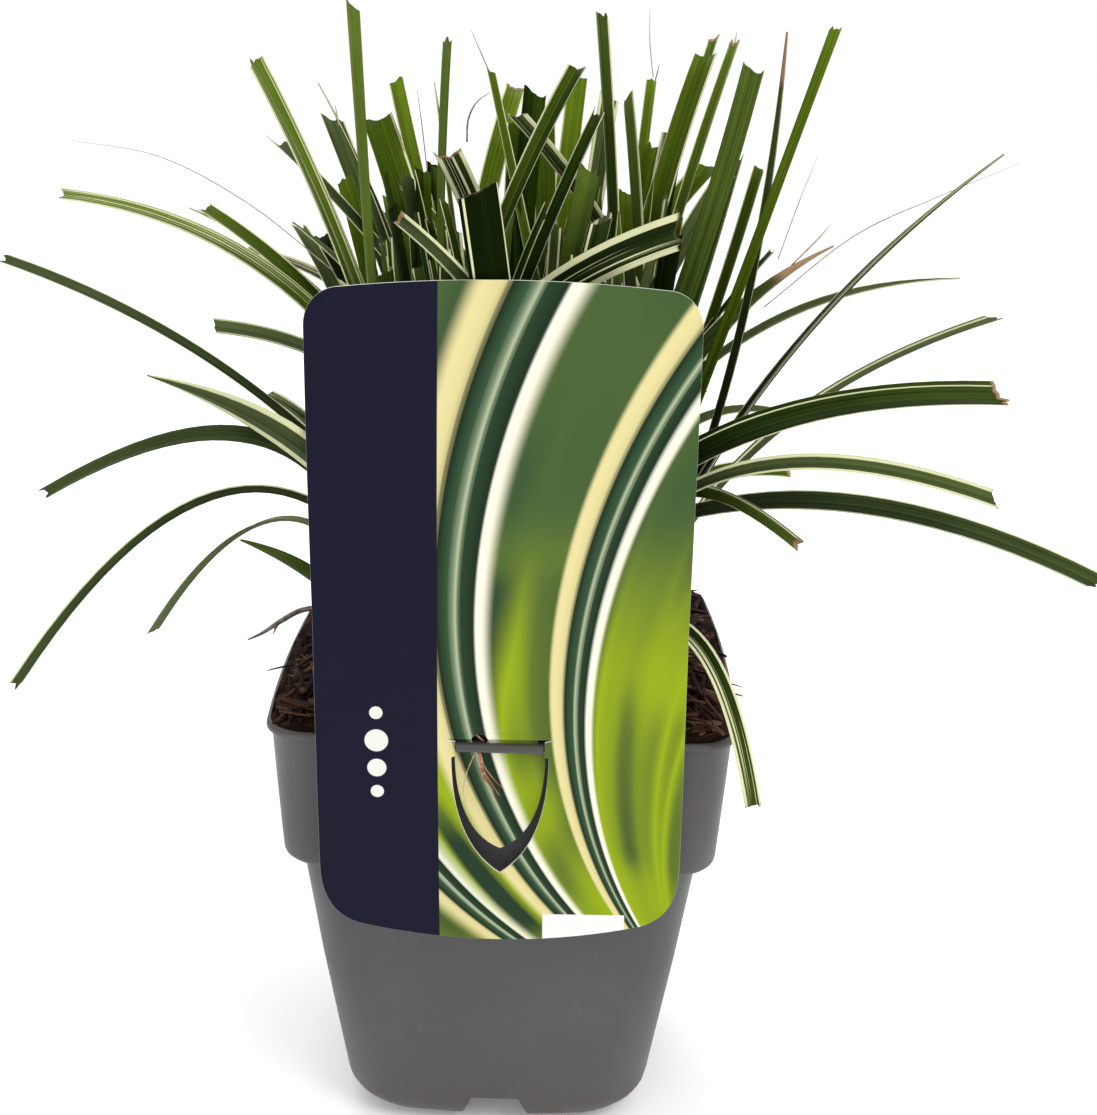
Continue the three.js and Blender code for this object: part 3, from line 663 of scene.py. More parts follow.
def quadratic(start, middle, end, steps):
    """Flat places on a curve from start towards end that bends to middle, without the last one."""
    start, middle, end = (Vector(place) for place in (start, middle, end))
    shares = [i / steps for i in range(steps)]
    return [start * (1 - t) ** 2 + middle * (2 * t * (1 - t)) + end * t * t for t in shares]


def arc(centre, radius, start, end, steps):
    angles = [math.radians(start + (end - start) * i / steps) for i in range(steps + 1)]
    return [Vector((centre[0] + radius * math.cos(a), centre[1] + radius * math.sin(a))) for a in angles]


# ------------------------------------------------------------------ pot


def pot_plan(half, z):
    """The pot's plan at a height, rounder and straighter towards the foot."""
    up = min(1.0, max(0.0, z / RIM_TOP))
    corner = COLLAR_CORNER
    if z <= COLLAR_LOW:
        corner = min(BODY_CORNER, half * 0.28) + FOOT_CORNER_MORE * max(0.0, 1 - z / FOOT_REACH)
    return plan(half, corner, FOOT_BOW + RIM_BOW_MORE * up, z)


def cut_channels(pot):
    for turn in (0, 90):
        across = Matrix.Rotation(math.radians(turn), 3, "Z")
        for half, end, low, high, broader, longer, operation in CHANNELS:
            cutter = bmesh.new()
            add_block(cutter, (-half, -end, low), (half, end, high))
            for vert in cutter.verts:
                if vert.co.z < (low + 1) * MM:
                    vert.co.x *= broader
                    vert.co.y *= longer
            bmesh.ops.rotate(cutter, cent=(0, 0, 0), matrix=across, verts=cutter.verts)
            cut_with(pot, cutter, operation)


def drill_drains(pot):
    for quarter in range(4):
        turn = Matrix.Rotation(math.radians(45 + 90 * quarter), 4, "Z")
        place = turn @ Matrix.Translation((DRAIN_OUT * math.sqrt(2) * MM, 0, 4.4 * MM))
        radius = DRAIN_RADIUS * MM
        cutter = bmesh.new()
        bmesh.ops.create_cone(
            cutter, cap_ends=True, segments=24, radius1=radius, radius2=radius, depth=6 * MM, matrix=place
        )
        cut_with(pot, cutter, "DIFFERENCE")


def plastic_material(settings):
    """Grey satin moulded plastic: faint clouds, fine scuffs, and dried splashes of soil low down."""
    material, tree, shader = new_material("pot_plastic")
    place = object_place(tree)
    clouds = cloud(tree, place, 22.0, 4.0, 0.6)
    darker = Vector(settings.plastic) * 0.86
    base = blend(tree, rise(tree, clouds, 0.3, 0.75), rgba(darker), rgba(settings.plastic))
    scratches = cloud(tree, stretched(tree, place, (900.0, 900.0, 60.0)), 1.0, 3.0, 0.65)
    scuffs = rise(tree, scratches, 0.63, 0.78)
    base = blend(tree, times(tree, scuffs, 0.22), base, (0.20, 0.195, 0.20, 1.0))
    specks = rise(tree, cloud(tree, place, 620.0, 2.0, 0.6), 0.70, 0.76)
    patches = rise(tree, cloud(tree, place, 45.0, 3.0, 0.6), 0.48, 0.66)
    height = step(tree, "SeparateXYZ", {0: place}).outputs["Z"]
    low = rise(tree, height, 0.045, 0.0)
    splash = times_plus(tree, low, 0.9, times(tree, patches, 0.35))
    splash = times(tree, specks, splash)
    smears = rise(tree, cloud(tree, place, 110.0, 4.0, 0.65), 0.46, 0.60)
    foot_dirt = times(tree, rise(tree, height, 0.020, 0.0), smears)
    dirt = calc(tree, "MAXIMUM", splash, times(tree, foot_dirt, 0.6), clamp=True)
    base = blend(tree, dirt, base, (0.100, 0.070, 0.048, 1.0))
    # The lip is duller on top, where soil has rubbed off on it.
    lip = times(tree, rise(tree, height, 0.1335, 0.1343), rise(tree, clouds, 0.2, 0.6, 0.5, 0.9))
    base = blend(tree, lip, base, (0.055, 0.050, 0.048, 1.0))
    shine = rise(tree, cloud(tree, place, 35.0, 3.0, 0.5), 0.2, 0.8, 0.36, 0.50)
    shine = times_plus(tree, dirt, 0.35, shine, clamp=True)
    fine = cloud(tree, place, 1500.0, 2.0, 0.6)
    normal = relief(tree, scuffs, 0.12, 0.0003, relief(tree, fine, 0.10, 0.0004))
    dress(tree, shader, base, normal, shine, 0.3)
    return material


class SEDGE_OT_pot(bpy.types.Operator):
    """Moulds the pot: collar, body, foot and the label bar on the rim"""

    bl_idname = "sedge.pot"
    bl_label = "Pot"

    def execute(self, context):
        settings = context.scene.sedge_pot
        bm = bmesh.new()
        lathe_through(bm, [pot_plan(half, z) for half, z in POT_PROFILE])
        material = plastic_material(settings)
        pot = finish_piece("pot_shell", bm, [material], ["pot"])
        cut_channels(pot)
        drill_drains(pot)
        bm = bmesh.new()
        bm.from_mesh(pot.data)
        sharpen(bm, math.radians(50))
        bm.to_mesh(pot.data)
        bm.free()
        self.add_label_bar(settings.bar_wide / MM / 2, material)
        return {"FINISHED"}

    def add_label_bar(self, half, material):
        bm = bmesh.new()
        add_block(bm, (-half, *BAR[0]), (half, *BAR[1]), 0.35)
        for left in (-half, half - POST_WIDE):
            add_block(bm, (left, *POST[0]), (left + POST_WIDE, *POST[1]), 0.3)
        finish_piece("label_bar", bm, [material])


# ------------------------------------------------------------------ soil


def smooth_share(value, low, high):
    share = min(1.0, max(0.0, (value - low) / (high - low)))
    return share * share * (3 - 2 * share)


def soil_height(x, y, levels):
    """The packed soil's surface: low between the shoots, banked up inside the wall."""
    middle, bank, edge = levels
    out = max(abs(x), abs(y)) / SOIL_HALF
    banked = (bank - middle) * smooth_share(out, *BANK_SLOPE)
    fall = (bank - edge) * smooth_share(out, *BANK_FALL)
    lumps = 0.9 * math.sin(x * 0.31 + 1.2) * math.cos(y * 0.27 - 0.5) + 0.5 * math.sin((x + y) * 0.17)
    return middle + banked - fall + lumps


def bark_material(settings):
    """Moist shredded bark, redder or paler from place to place."""
    material, tree, shader = new_material("bark_soil")
    place = object_place(tree)
    bark = Vector(settings.bark)
    patch = cloud(tree, place, 130.0, 4.0, 0.62)
    stops = [(0.32, bark * 0.08), (0.48, bark * 0.3), (0.60, bark * 0.7), (0.74, bark * 2.0)]
    base = ramp(tree, patch, stops)
    grain = cloud(tree, place, 1800.0, 3.0, 0.7)
    base = blend(tree, rise(tree, grain, 0.62, 0.74, 0.0, 0.35), base, rgba(bark * 3.5))
    normal = relief(tree, cloud(tree, place, 900.0, 5.0, 0.7), 0.9, 0.0012)
    shine = rise(tree, patch, 0.3, 0.8, 0.95, 0.7)
    dress(tree, shader, base, normal, shine, 0.1)
    return material


def strand_material(settings):
    """Bark strands: each one has its own shade, with a fibre grain along it."""
    material, tree, shader = new_material("bark_strand")
    shade = parts_of(tree, "look")[0]
    bark = Vector(settings.bark)
    stops = [
        (0.0, bark * 0.15),
        (0.30, bark * 0.55),
        (0.55, bark * 1.3),
        (0.75, (0.19, 0.085, 0.050)),
        (1.0, (0.34, 0.19, 0.12)),
    ]
    base = ramp(tree, shade, stops)
    along = step(tree, "UVMap", uv_map="strip").outputs["UV"]
    fibre = cloud(tree, stretched(tree, along, (14.0, 3.0, 1.0)), 3.0, 4.0, 0.7)
    base = blend(tree, rise(tree, fibre, 0.35, 0.7, 0.55, 0.0), base, rgba(bark * 0.2))
    normal = relief(tree, fibre, 0.8, 0.0005)
    dress(tree, shader, base, normal, 0.82, 0.15)
    return material


def strand_template(steps):
    """One straight strand, four-sided, from y 0 to 1, tapered at both ends."""
    bm = bmesh.new()
    bmesh.ops.create_cube(bm, size=1.0)
    bmesh.ops.translate(bm, vec=(0, 0.5, 0), verts=bm.verts[:])
    lengthwise = [edge for edge in bm.edges if abs(edge.verts[0].co.y - edge.verts[1].co.y) > 0.5]
    bmesh.ops.subdivide_edges(bm, edges=lengthwise, cuts=steps - 1, use_grid_fill=False)
    mesh = bpy.data.meshes.new("strand_template")
    bm.to_mesh(mesh)
    bm.free()
    return mesh


def lay_strand(bm, template, start, heading, length, wide, tall, curl, shade, layers):
    """Adds a strand that starts at a place, runs along a heading and curls sideways and up."""
    strip, look = layers
    before = len(bm.verts)
    faces_before = len(bm.faces)
    bm.from_mesh(template)
    bm.verts.ensure_lookup_table()
    bm.faces.ensure_lookup_table()
    side = heading.cross(Vector((0, 0, 1))).normalized()
    up = side.cross(heading).normalized()
    for vert in bm.verts[before:]:
        x, along, z = vert.co
        taper = 0.35 + 0.65 * math.sin(math.pi * min(1.0, max(0.0, 0.08 + 0.86 * along)))
        bend = (along * along) * length
        centre = start + heading * (along * length) + side * (curl[0] * bend) + up * (curl[1] * bend)
        vert.co = (centre + side * (x * wide * taper) + up * (z * tall * taper)) * MM
        vert[look] = (shade, x + 0.5, along, 1.0)
    for face in bm.faces[faces_before:]:
        for loop in face.loops:
            data = loop.vert[look]
            loop[strip].uv = (data[1], data[2])


class SEDGE_OT_soil(bpy.types.Operator):
    """Fills the pot with bark mix and lays strands over it"""

    bl_idname = "sedge.soil"
    bl_label = "Soil"

    def execute(self, context):
        settings = context.scene.sedge_soil
        heights = (settings.middle_height, settings.bank_height, settings.edge_height)
        levels = [height / MM for height in heights]
        rings = [pot_plan(half, z) for half, z in SOIL_SIDE]
        for i in range(SOIL_RINGS):
            ring = pot_plan(SOIL_OVER_RIM * (1 - 0.03 * i), RIM_TOP)
            for place in ring:
                rough = noise.fractal(place * 0.16, 0.8, 2.1, 5) * (0.4 if i == 0 else 1.6)
                place.z = max(134.7 - i, soil_height(place.x, place.y, levels) + rough - 0.3)
            rings.append(ring)
        bm = bmesh.new()
        lathe_through(bm, rings)
        finish_piece("soil_bed", bm, [bark_material(settings)], ["soil"])
        self.lay_strands(settings, levels)
        return {"FINISHED"}

    def lay_strands(self, settings, levels):
        draws = random.Random(STRAND_SEED)
        template = strand_template(STRAND_STEPS)
        bm = bmesh.new()
        layers = (bm.loops.layers.uv.new("strip"), bm.verts.layers.float_color.new("look"))
        fewer = 1
        places = []
        for _ in range(settings.strands // fewer):
            places.append((draws.uniform(-SOIL_HALF, SOIL_HALF), draws.uniform(-SOIL_HALF, SOIL_HALF)))
        for _ in range(settings.bank_strands // fewer):
            places.append((draws.choice((-1, 1)) * draws.uniform(44, 61), draws.uniform(-59, 60)))
        for x, y in places:
            azimuth = draws.uniform(0, 2 * math.pi)
            length = draws.choice(STRAND_LENGTHS) * draws.uniform(0.8, 1.2)
            steep = draws.gauss(0.02, 0.15)
            end = (x + length * math.cos(azimuth), y + length * math.sin(azimuth))
            if max(abs(end[0]), abs(end[1])) > SOIL_HALF:
                azimuth = math.atan2(-y, -x) + draws.uniform(-1.0, 1.0)
            heading = polar(azimuth, 1, steep).normalized()
            start = Vector((x, y, soil_height(x, y, levels) + draws.uniform(-0.5, 1.8)))
            wide = draws.choice(STRAND_WIDTHS)
            curl = (draws.gauss(0, 0.28 * 8 / max(8, length)), draws.gauss(-0.02, 0.06))
            shade = draws.choice(STRAND_SHADES) * draws.uniform(0.8, 1.1)
            lay_strand(bm, template, start, heading, length, wide, wide * 0.35 + 0.18, curl, shade, layers)
        for x, y, azimuth, steep, length, wide, shade in STRAY_STRANDS:
            heading = polar(math.radians(azimuth), 1, steep).normalized()
            start = Vector((x, y, min(135.6, soil_height(x, y, levels) + 1.0)))
            lay_strand(bm, template, start, heading, length, wide, wide * 0.6, (0.12, -0.12), shade, layers)
        bpy.data.meshes.remove(template)
        finish_piece("bark_strands", bm, [strand_material(settings)])


# ------------------------------------------------------------------ plant card


def card_front(z):
    """How far forward the card's face stands at a height: it leans back from its hook upwards."""
    return CARD_FRONT + CARD_BEND * (z - BEND_Z) ** 2


def tongue_front(z):
    """The same for the tongue, which passes behind the bar and then leans back."""
    if z > TONGUE_TOP:
        return card_front(z)
    if z > HOOK_Z:
        share = (TONGUE_TOP - z) / 2
        return card_front(TONGUE_TOP) * (1 - share) + TONGUE_FRONT * share
    if z > TONGUE_BEND:
        return TONGUE_FRONT
    return TONGUE_FRONT + min(1.3, (TONGUE_BEND - z) * 0.078)


def card_outline(settings):
    """Sides that flare a little from the middle up, round corners, a top that is higher and a foot
    that is lower in the middle."""
    half = settings.wide / MM / 2
    low = settings.low / MM
    high = settings.high / MM
    flare = settings.flare / MM
    middle = (low + high) / 2
    inner = half - 10
    foot = low + 4.2
    pull = low + 7.5
    side = low + 22
    points = quadratic((-half, side), (-half, pull), (-inner, foot), 14)
    points += quadratic((-inner, foot), (0, low - 5), (inner, foot), 18)
    points += quadratic((inner, foot), (half, pull), (half, side), 14)
    points += [(half, side), (half, middle)]
    half += flare
    corner = 9
    inner = half - corner
    top_rise = settings.top_rise / MM
    shoulder = high - top_rise
    points += arc((inner, shoulder - corner), corner, 0, 90, 10)
    points += quadratic((inner, shoulder), (0, high + top_rise), (-inner, shoulder), 16)[1:]
    points += arc((-inner, shoulder - corner), corner, 90, 180, 10)
    points.append((flare - half, middle))
    return points


def window_outline():
    """A slit at the top, a neck as wide as the bar and a pointed U."""
    neck = 11.6
    half = neck + 1
    points = [(-neck - 2.6, 136.8), (-neck, 136.0), (-neck, 132.0)]
    points += quadratic((-half, 131.6), (-half, 107), (0, 98.2), 16)
    points += quadratic((0, 98.2), (half, 107), (half, 131.6), 16)
    points += [(half, 131.6), (neck, 132.0), (neck, 136.0), (neck + 2.6, 136.8)]
    return points


def tongue_outline():
    """Narrow between the ends of the bar, a wide rounded U below."""
    neck = 9.8
    half = 11.8
    points = [(-neck, 139.8), (-neck, 132.7), (-half, 132.5)]
    points += quadratic((-half, 132.3), (-half, 109), (0, 104.1), 14)
    points += quadratic((0, 104.1), (half, 109), (half, 132.3), 14)
    points += [(half, 132.5), (neck, 132.7), (neck, 139.8)]
    return points


def punch(points):
    """A prism along Y with this outline in X and Z, as a bmesh in metres."""
    front, back = -100, -20
    bm = bmesh.new()
    ring = bmesh.ops.create_circle(bm, cap_ends=True, segments=len(points), radius=1.0)["verts"]
    ring.sort(key=lambda vert: math.atan2(vert.co.y, vert.co.x))
    for vert, (x, z) in zip(ring, points):
        vert.co = Vector((x, front, z)) * MM
    thicken(bm, (back - front) * MM)
    return bm


def thicken(bm, depth):
    """Extrudes all faces back along Y."""
    grown = bmesh.ops.extrude_face_region(bm, geom=bm.faces[:], use_keep_orig=True)
    bmesh.ops.translate(bm, vec=(0, depth, 0), verts=new_verts(grown))
    bmesh.ops.recalc_face_normals(bm, faces=bm.faces[:])


def bent_sheet(name, wide, low, high, front, thick, materials):
    """A stiff sheet whose face follows `front`, with its thickness behind it."""
    bm = bmesh.new()
    bmesh.ops.create_grid(bm, x_segments=SHEET_COLUMNS, y_segments=SHEET_ROWS, size=1.0)
    reach = max(vert.co.y for vert in bm.verts)
    for vert in bm.verts:
        z = low + (high - low) * (vert.co.y / reach + 1) / 2
        vert.co = Vector((vert.co.x / reach * wide / 2, front(z), z)) * MM
    thicken(bm, thick * MM)
    return finish_piece(name, bm, materials)


def print_faces(piece, settings):
    """The print is on the faces that look forward; the eased edge round it, the cut edges and the
    back are bare. The print's map has its origin at the card's lower left corner and one unit for
    its width. At the end the piece is turned about the bar, for the card hangs a little askew."""
    bm = bmesh.new()
    bm.from_mesh(piece.data)
    rim = []
    for edge in bm.edges:
        looks = sorted(face.normal.y for face in edge.link_faces)
        if len(looks) == 2 and looks[0] < -0.9 and looks[1] > -0.5:
            rim.append(edge)
    offset = CARD_EASE * MM
    bmesh.ops.bevel(
        bm, geom=rim, offset=offset, affect="EDGES", segments=1, profile=0.5, material=-1, clamp_overlap=True
    )
    layer = bm.loops.layers.uv.new("print")
    for face in bm.faces:
        face.material_index = 0 if face.normal.y < -0.9 else 1
        face.smooth = abs(face.normal.y) > 0.6
        for loop in face.loops:
            place = loop.vert.co
            loop[layer].uv = (place.x / settings.wide + 0.5, (place.z - settings.low) / settings.wide)
    sharpen(bm, 0.6)
    centre = Vector((0, 0, HOOK_Z * MM))
    bmesh.ops.rotate(bm, cent=centre, matrix=Matrix.Rotation(-settings.roll, 3, "Y"), verts=bm.verts[:])
    bm.to_mesh(piece.data)
    bm.free()


def print_material(settings):
    """The printed front: a plain dark panel, a blurred field with soft striped ribbons that fan out
    over it, a row of plain dots and a bare white block, with no words."""
    material, tree, shader = new_material("card_print")
    uv = step(tree, "UVMap", uv_map="print").outputs["UV"]
    x, y, _ = map_axes(tree, "print")
    light = Vector(settings.leaf_light)
    dark = Vector(settings.leaf_dark)
    # The fan's own measures: how far from its foot, and which way, curling with the distance.
    dx = minus(tree, 1.12, x)
    dy = plus(tree, y, 0.25)
    far = length_of(tree, dx, dy)
    fan = times_plus(tree, far, 0.42, calc(tree, "ARCTAN2", dx, dy))
    spread = joined(tree, times(tree, fan, 4.2), times(tree, far, 0.35))
    broad = cloud(tree, spread, 1.5, 1.0, 0.4)
    glow = cloud(tree, uv, 1.9, 1.0, 0.4)
    field_stops = [(0.30, dark), (0.44, dark.lerp(light, 0.35)), (0.56, light), (0.66, dark * 0.8)]
    field = ramp(tree, broad, field_stops)
    field = blend(tree, rise(tree, glow, 0.46, 0.62, 0.0, 0.8), field, rgba(light))
    field = blend(tree, rise(tree, y, 0.75, 1.30, 0.0, 0.88), field, rgba(dark * 1.3))
    # Ribbons: place in the fan, half width and blur, each with pale edges and dark stripes inside.
    fine = cloud(tree, stretched(tree, spread, (16.0, 0.4, 1.0)), 1.6, 2.0, 0.6)
    ribbon_stops = [
        (0.00, (0.80, 0.77, 0.58)),
        (0.14, (0.85, 0.83, 0.70)),
        (0.19, dark * 0.5),
        (0.36, dark * 0.9),
        (0.42, (0.40, 0.46, 0.30)),
        (0.50, dark * 1.5),
        (0.66, dark * 0.4),
        (0.74, (0.62, 0.56, 0.26)),
        (0.86, (0.70, 0.62, 0.30)),
    ]
    for middle, half, blur in ((1.44, 0.070, 0.030), (1.16, 0.085, 0.016), (0.86, 0.060, 0.006)):
        across = calc(tree, "DIVIDE", minus(tree, fan, middle - half), 2 * half)
        across = sway(tree, across, fine, 0.5, 0.10)
        inside = near(tree, fan, middle, half + blur, half - blur)
        field = blend(tree, inside, field, ramp(tree, across, ribbon_stops))
    colour = blend(tree, rise(tree, x, 0.330, 0.332), rgba(settings.panel), field)
    # The dots on the panel, by height and size, then the bare block.
    for height, size in ((0.46, 0.018), (0.53, 0.026), (0.61, 0.032), (0.69, 0.018)):
        gap = length_of(tree, minus(tree, x, 0.165), minus(tree, y, height))
        colour = blend(tree, rise(tree, gap, size + 0.001, size - 0.001), colour, rgba(settings.dots))
    block = times(tree, rise(tree, x, 0.62, 0.622), rise(tree, x, 0.852, 0.85))
    block = times(tree, block, rise(tree, y, 0.082, 0.080))
    colour = blend(tree, block, colour, (0.80, 0.80, 0.79, 1.0))
    place = object_place(tree)
    normal = relief(tree, cloud(tree, place, 2600.0, 1.0, 0.5), 0.05, 0.0002)
    shine = rise(tree, cloud(tree, place, 40.0, 3.0, 0.6), 0.3, 0.75, 0.30, 0.44)
    dress(tree, shader, colour, normal, shine, 0.05)
    return material


def card_core_material():
    """The bare white plastic of the card's cut edges and back."""
    material, tree, shader = new_material("card_core")
    place = object_place(tree)
    tone = cloud(tree, place, 60.0, 3.0, 0.6)
    base = blend(tree, rise(tree, tone, 0.4, 0.8), (0.82, 0.82, 0.79, 1.0), (0.70, 0.70, 0.67, 1.0))
    normal = relief(tree, cloud(tree, place, 1800.0, 2.0, 0.5), 0.06, 0.0002)
    dress(tree, shader, base, normal, 0.42)
    return material


class SEDGE_OT_card(bpy.types.Operator):
    """Punches the plant card and hooks its tongue behind the label bar"""

    bl_idname = "sedge.card"
    bl_label = "Plant card"

    def execute(self, context):
        settings = context.scene.sedge_card
        materials = [print_material(settings), card_core_material()]
        thick = settings.thick / MM
        low = settings.low / MM
        high = settings.high / MM
        wide = settings.wide / MM
        card = bent_sheet("plant_card", wide + 8, low - 2, high + 2, card_front, thick, materials)
        hole = arc(HOLE_PLACE, HOLE_RADIUS, 0, 345, 23)
        cut_with(card, punch(card_outline(settings)), "INTERSECT")
        cut_with(card, punch(window_outline()), "DIFFERENCE")
        cut_with(card, punch(hole), "DIFFERENCE")
        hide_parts("plant_label")
        print_faces(card, settings)
        tongue = bent_sheet("card_tongue", 30, 101, 141, tongue_front, thick, materials)
        cut_with(tongue, punch(tongue_outline()), "INTERSECT")
        cut_with(tongue, punch(hole), "DIFFERENCE")
        print_faces(tongue, settings)
        return {"FINISHED"}


# ------------------------------------------------------------------ clump


class Shoot:
    """One shoot's place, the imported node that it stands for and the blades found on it."""

    def __init__(self, azimuth, radius, crown):
        turn = math.radians(azimuth)
        self.azimuth = azimuth
        self.radius = radius
        self.crown = polar(turn, radius, crown)
        self.lean = math.radians(radius * 0.6)
        self.axis = polar(turn, math.sin(self.lean), math.cos(self.lean))
        self.node = None
        self.surface = None
        self.blades = []


class Draws:
    """The Park-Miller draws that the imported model's blades were grown with."""

    def __init__(self, state):
        self.state = state

    def next(self):
        self.state = self.state * 16807 % 2147483647
        return self.state / 2147483647


class Blade:
    """A folded strap along a curve from its root to its tip that bends towards one elbow."""

    def __init__(self, centre, tip, arch, width, turn, cut):
        heading = math.atan2(tip.y - centre.y, tip.x - centre.x)
        self.root = centre + polar(heading, 1.7)
        self.tip = tip
        unit = (tip - self.root).normalized()
        rise_way = (Vector((0, 0, 1)) - unit * unit.z).normalized()
        self.elbow = (self.root + tip) / 2 + rise_way * (2 * arch)
        self.width = width
        self.turn = math.radians(turn)
        self.cut = cut
        self.across = Vector((0, 0, 1)).cross(self.slope(0.5)).normalized()
        self.look = None
        self.broad = 1.0

    def place(self, t):
        return self.root * (1 - t) ** 2 + self.elbow * (2 * t * (1 - t)) + self.tip * t * t

    def slope(self, t):
        return ((self.elbow - self.root) * (1 - t) + (self.tip - self.elbow) * t).normalized()

    def section(self, t):
        """The middle, the way along, the way across, the way out of the face and the half width."""
        along = self.slope(t)
        side = Quaternion(along, self.turn * min(1.0, 1.6 * t)) @ self.across
        face = along.cross(side).normalized()
        half = self.width / 2 * (0.46 + 0.54 * min(1.0, t / 0.35)) * (1 - 0.1 * t)
        return self.place(t), along, side, face, half

    def marks(self, t, at_tip):
        """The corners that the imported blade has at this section."""
        middle, along, side, face, half = self.section(t)
        for u, over, thick in MARKS:
            corner = middle + side * (u * half) + face * (over * FOLD_DEPTH * half + thick / 2)
            yield corner + along * (u * self.cut * half) if at_tip else corner


def grown_on(shoot, blade):
    """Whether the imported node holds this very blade."""
    if shoot.surface is None:
        return False
    for t, at_tip, needed in ((1.0, True, 4), (0.8, False, 3)):
        found = 0
        for corner in blade.marks(t, at_tip):
            found += shoot.surface.find_nearest(corner * MM, MARK_REACH * MM)[0] is not None
        if found < needed:
            return False
    return True


def surface_of(node):
    bm = bmesh.new()
    bm.from_mesh(node.data)
    tree = BVHTree.FromBMesh(bm)
    bm.free()
    return tree


def find_shoots(crown):
    """The shoots by ring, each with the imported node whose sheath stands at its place."""
    names = sorted(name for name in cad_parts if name.startswith("shoot"))
    surfaces = {name: surface_of(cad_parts[name]) for name in names}
    shoots = []
    for radius, count, start in SHOOT_RINGS:
        for i in range(count):
            shoot = Shoot(start + 360 * i / count, radius, crown)
            foot = (shoot.crown - shoot.axis * SHEATH_BELOW) * MM
            for name, surface in surfaces.items():
                if surface.find_nearest(foot, 0.0002)[0] is not None:
                    shoot.node = name
                    shoot.surface = surface
            shoots.append(shoot)
    return shoots


def bends():
    """The steps by which a tip may stand aside, and an arch higher, smallest first."""
    steps = [(aside, lift) for aside in (0, 3, -3, 6, -6, 9, -9, 12, -12) for lift in (0, 4, -4, 8)]
    return sorted(steps, key=lambda pair: abs(pair[0]) + abs(pair[1]))


def find_named(shoots, draws):
    """Gives each named blade to the shoot that holds it, the nearest first, or to none."""
    for nearest, x, y, z, arch, width, turn, look, broad in NAMED_BLADES:
        cut = 1.2 * (draws.next() - 0.5)
        start = shoots[nearest].crown
        order = sorted(range(len(shoots)), key=lambda k: ((start - shoots[k].crown).length, k))[:12]
        tries = [(index, bend) for bend in bends() for index in order]
        for index, (aside, lift) in tries:
            shoot = shoots[index]
            heading = math.atan2(y - shoot.crown.y, x - shoot.crown.x)
            tip = Vector((x - aside * math.sin(heading), y + aside * math.cos(heading), z))
            blade = Blade(shoot.crown, tip, arch + lift, width, turn, cut)
            blade.look = look
            blade.broad = broad
            if grown_on(shoot, blade):
                shoot.blades.append(blade)
                break


def find_rest(shoots, draws):
    """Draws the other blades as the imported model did, and keeps those that its nodes hold."""
    for _ in range(ROUNDS):
        for shoot in shoots:
            spin, out, tall, droop, wide, twist, trim = [draws.next() for _ in range(7)]
            if len(shoot.blades) >= MOST_BLADES:
                continue
            spread = 360 if shoot.radius < 10 else 90
            azimuth = math.radians(shoot.azimuth + spread * (spin - 0.5))
            if abs(math.sin(azimuth)) < 0.7:
                continue
            front = math.sin(azimuth) < 0
            reach = 4 + 22 * out if front else 12 + (120 - shoot.radius - 12) * out
            chord = 80 + 45 * tall if front else 142 + 34 * tall - 52 * out * droop
            up = math.sqrt(max(35**2, chord**2 - reach**2))
            tip = shoot.crown + polar(azimuth, reach, up)
            arch = 2 + (4 + 34 * droop) * out
            blade = Blade(shoot.crown, tip, arch, 5.5 + 3.5 * wide, 70 * (twist - 0.5), 1.2 * (trim - 0.5))
            if grown_on(shoot, blade):
                shoot.blades.append(blade)


def young_blade(shoot, draws):
    """A short, narrow inner blade that stands nearly upright in its shoot."""
    azimuth = math.radians(shoot.azimuth + draws.uniform(-80, 80))
    reach = draws.uniform(4, 22)
    up = draws.uniform(108, 145)
    tip = shoot.crown + polar(azimuth, reach, up)
    blade = Blade(shoot.crown, tip, draws.uniform(1, 6), draws.uniform(4, 7), draws.uniform(-40, 40), 0.4)
    blade.look = draws.choice(("dl", "dr", "dn", "kn", "gl", "hr", "gp", "q", "on"))
    return blade


def blade_end(draws, pointed):
    """How far each column of a cut end stands out, in mm: a notch at the fold and torn teeth."""
    if pointed:
        return [0.0] * (BLADE_COLUMNS + 1)
    notch = draws.uniform(-0.3, 1.0)
    ends = []
    for column in range(BLADE_COLUMNS + 1):
        s = abs(2 * column / BLADE_COLUMNS - 1)
        ends.append(notch * (s - 0.5) + draws.gauss(0, 0.2))
    if draws.random() < 0.5:
        ends[draws.randrange(BLADE_COLUMNS + 1)] += draws.uniform(0.6, 2.0)
    return ends


def margins(blade, letters, width, draws):
    """The pale margins on the sides -1 and +1. On most unmarked blades one is only a thin line."""
    if "n" in letters:
        return (0.0, 0.0)
    if "l" in letters or "r" in letters:
        side = blade.section(0.8)[2]
        wanted = -1 if "l" in letters else 1
        return (0.04, width) if side.x * wanted > 0 else (width, 0.04)
    thin = width * draws.choice((0.5, 0.8, 1.0))
    return (width, thin) if draws.random() < 0.5 else (thin, width)


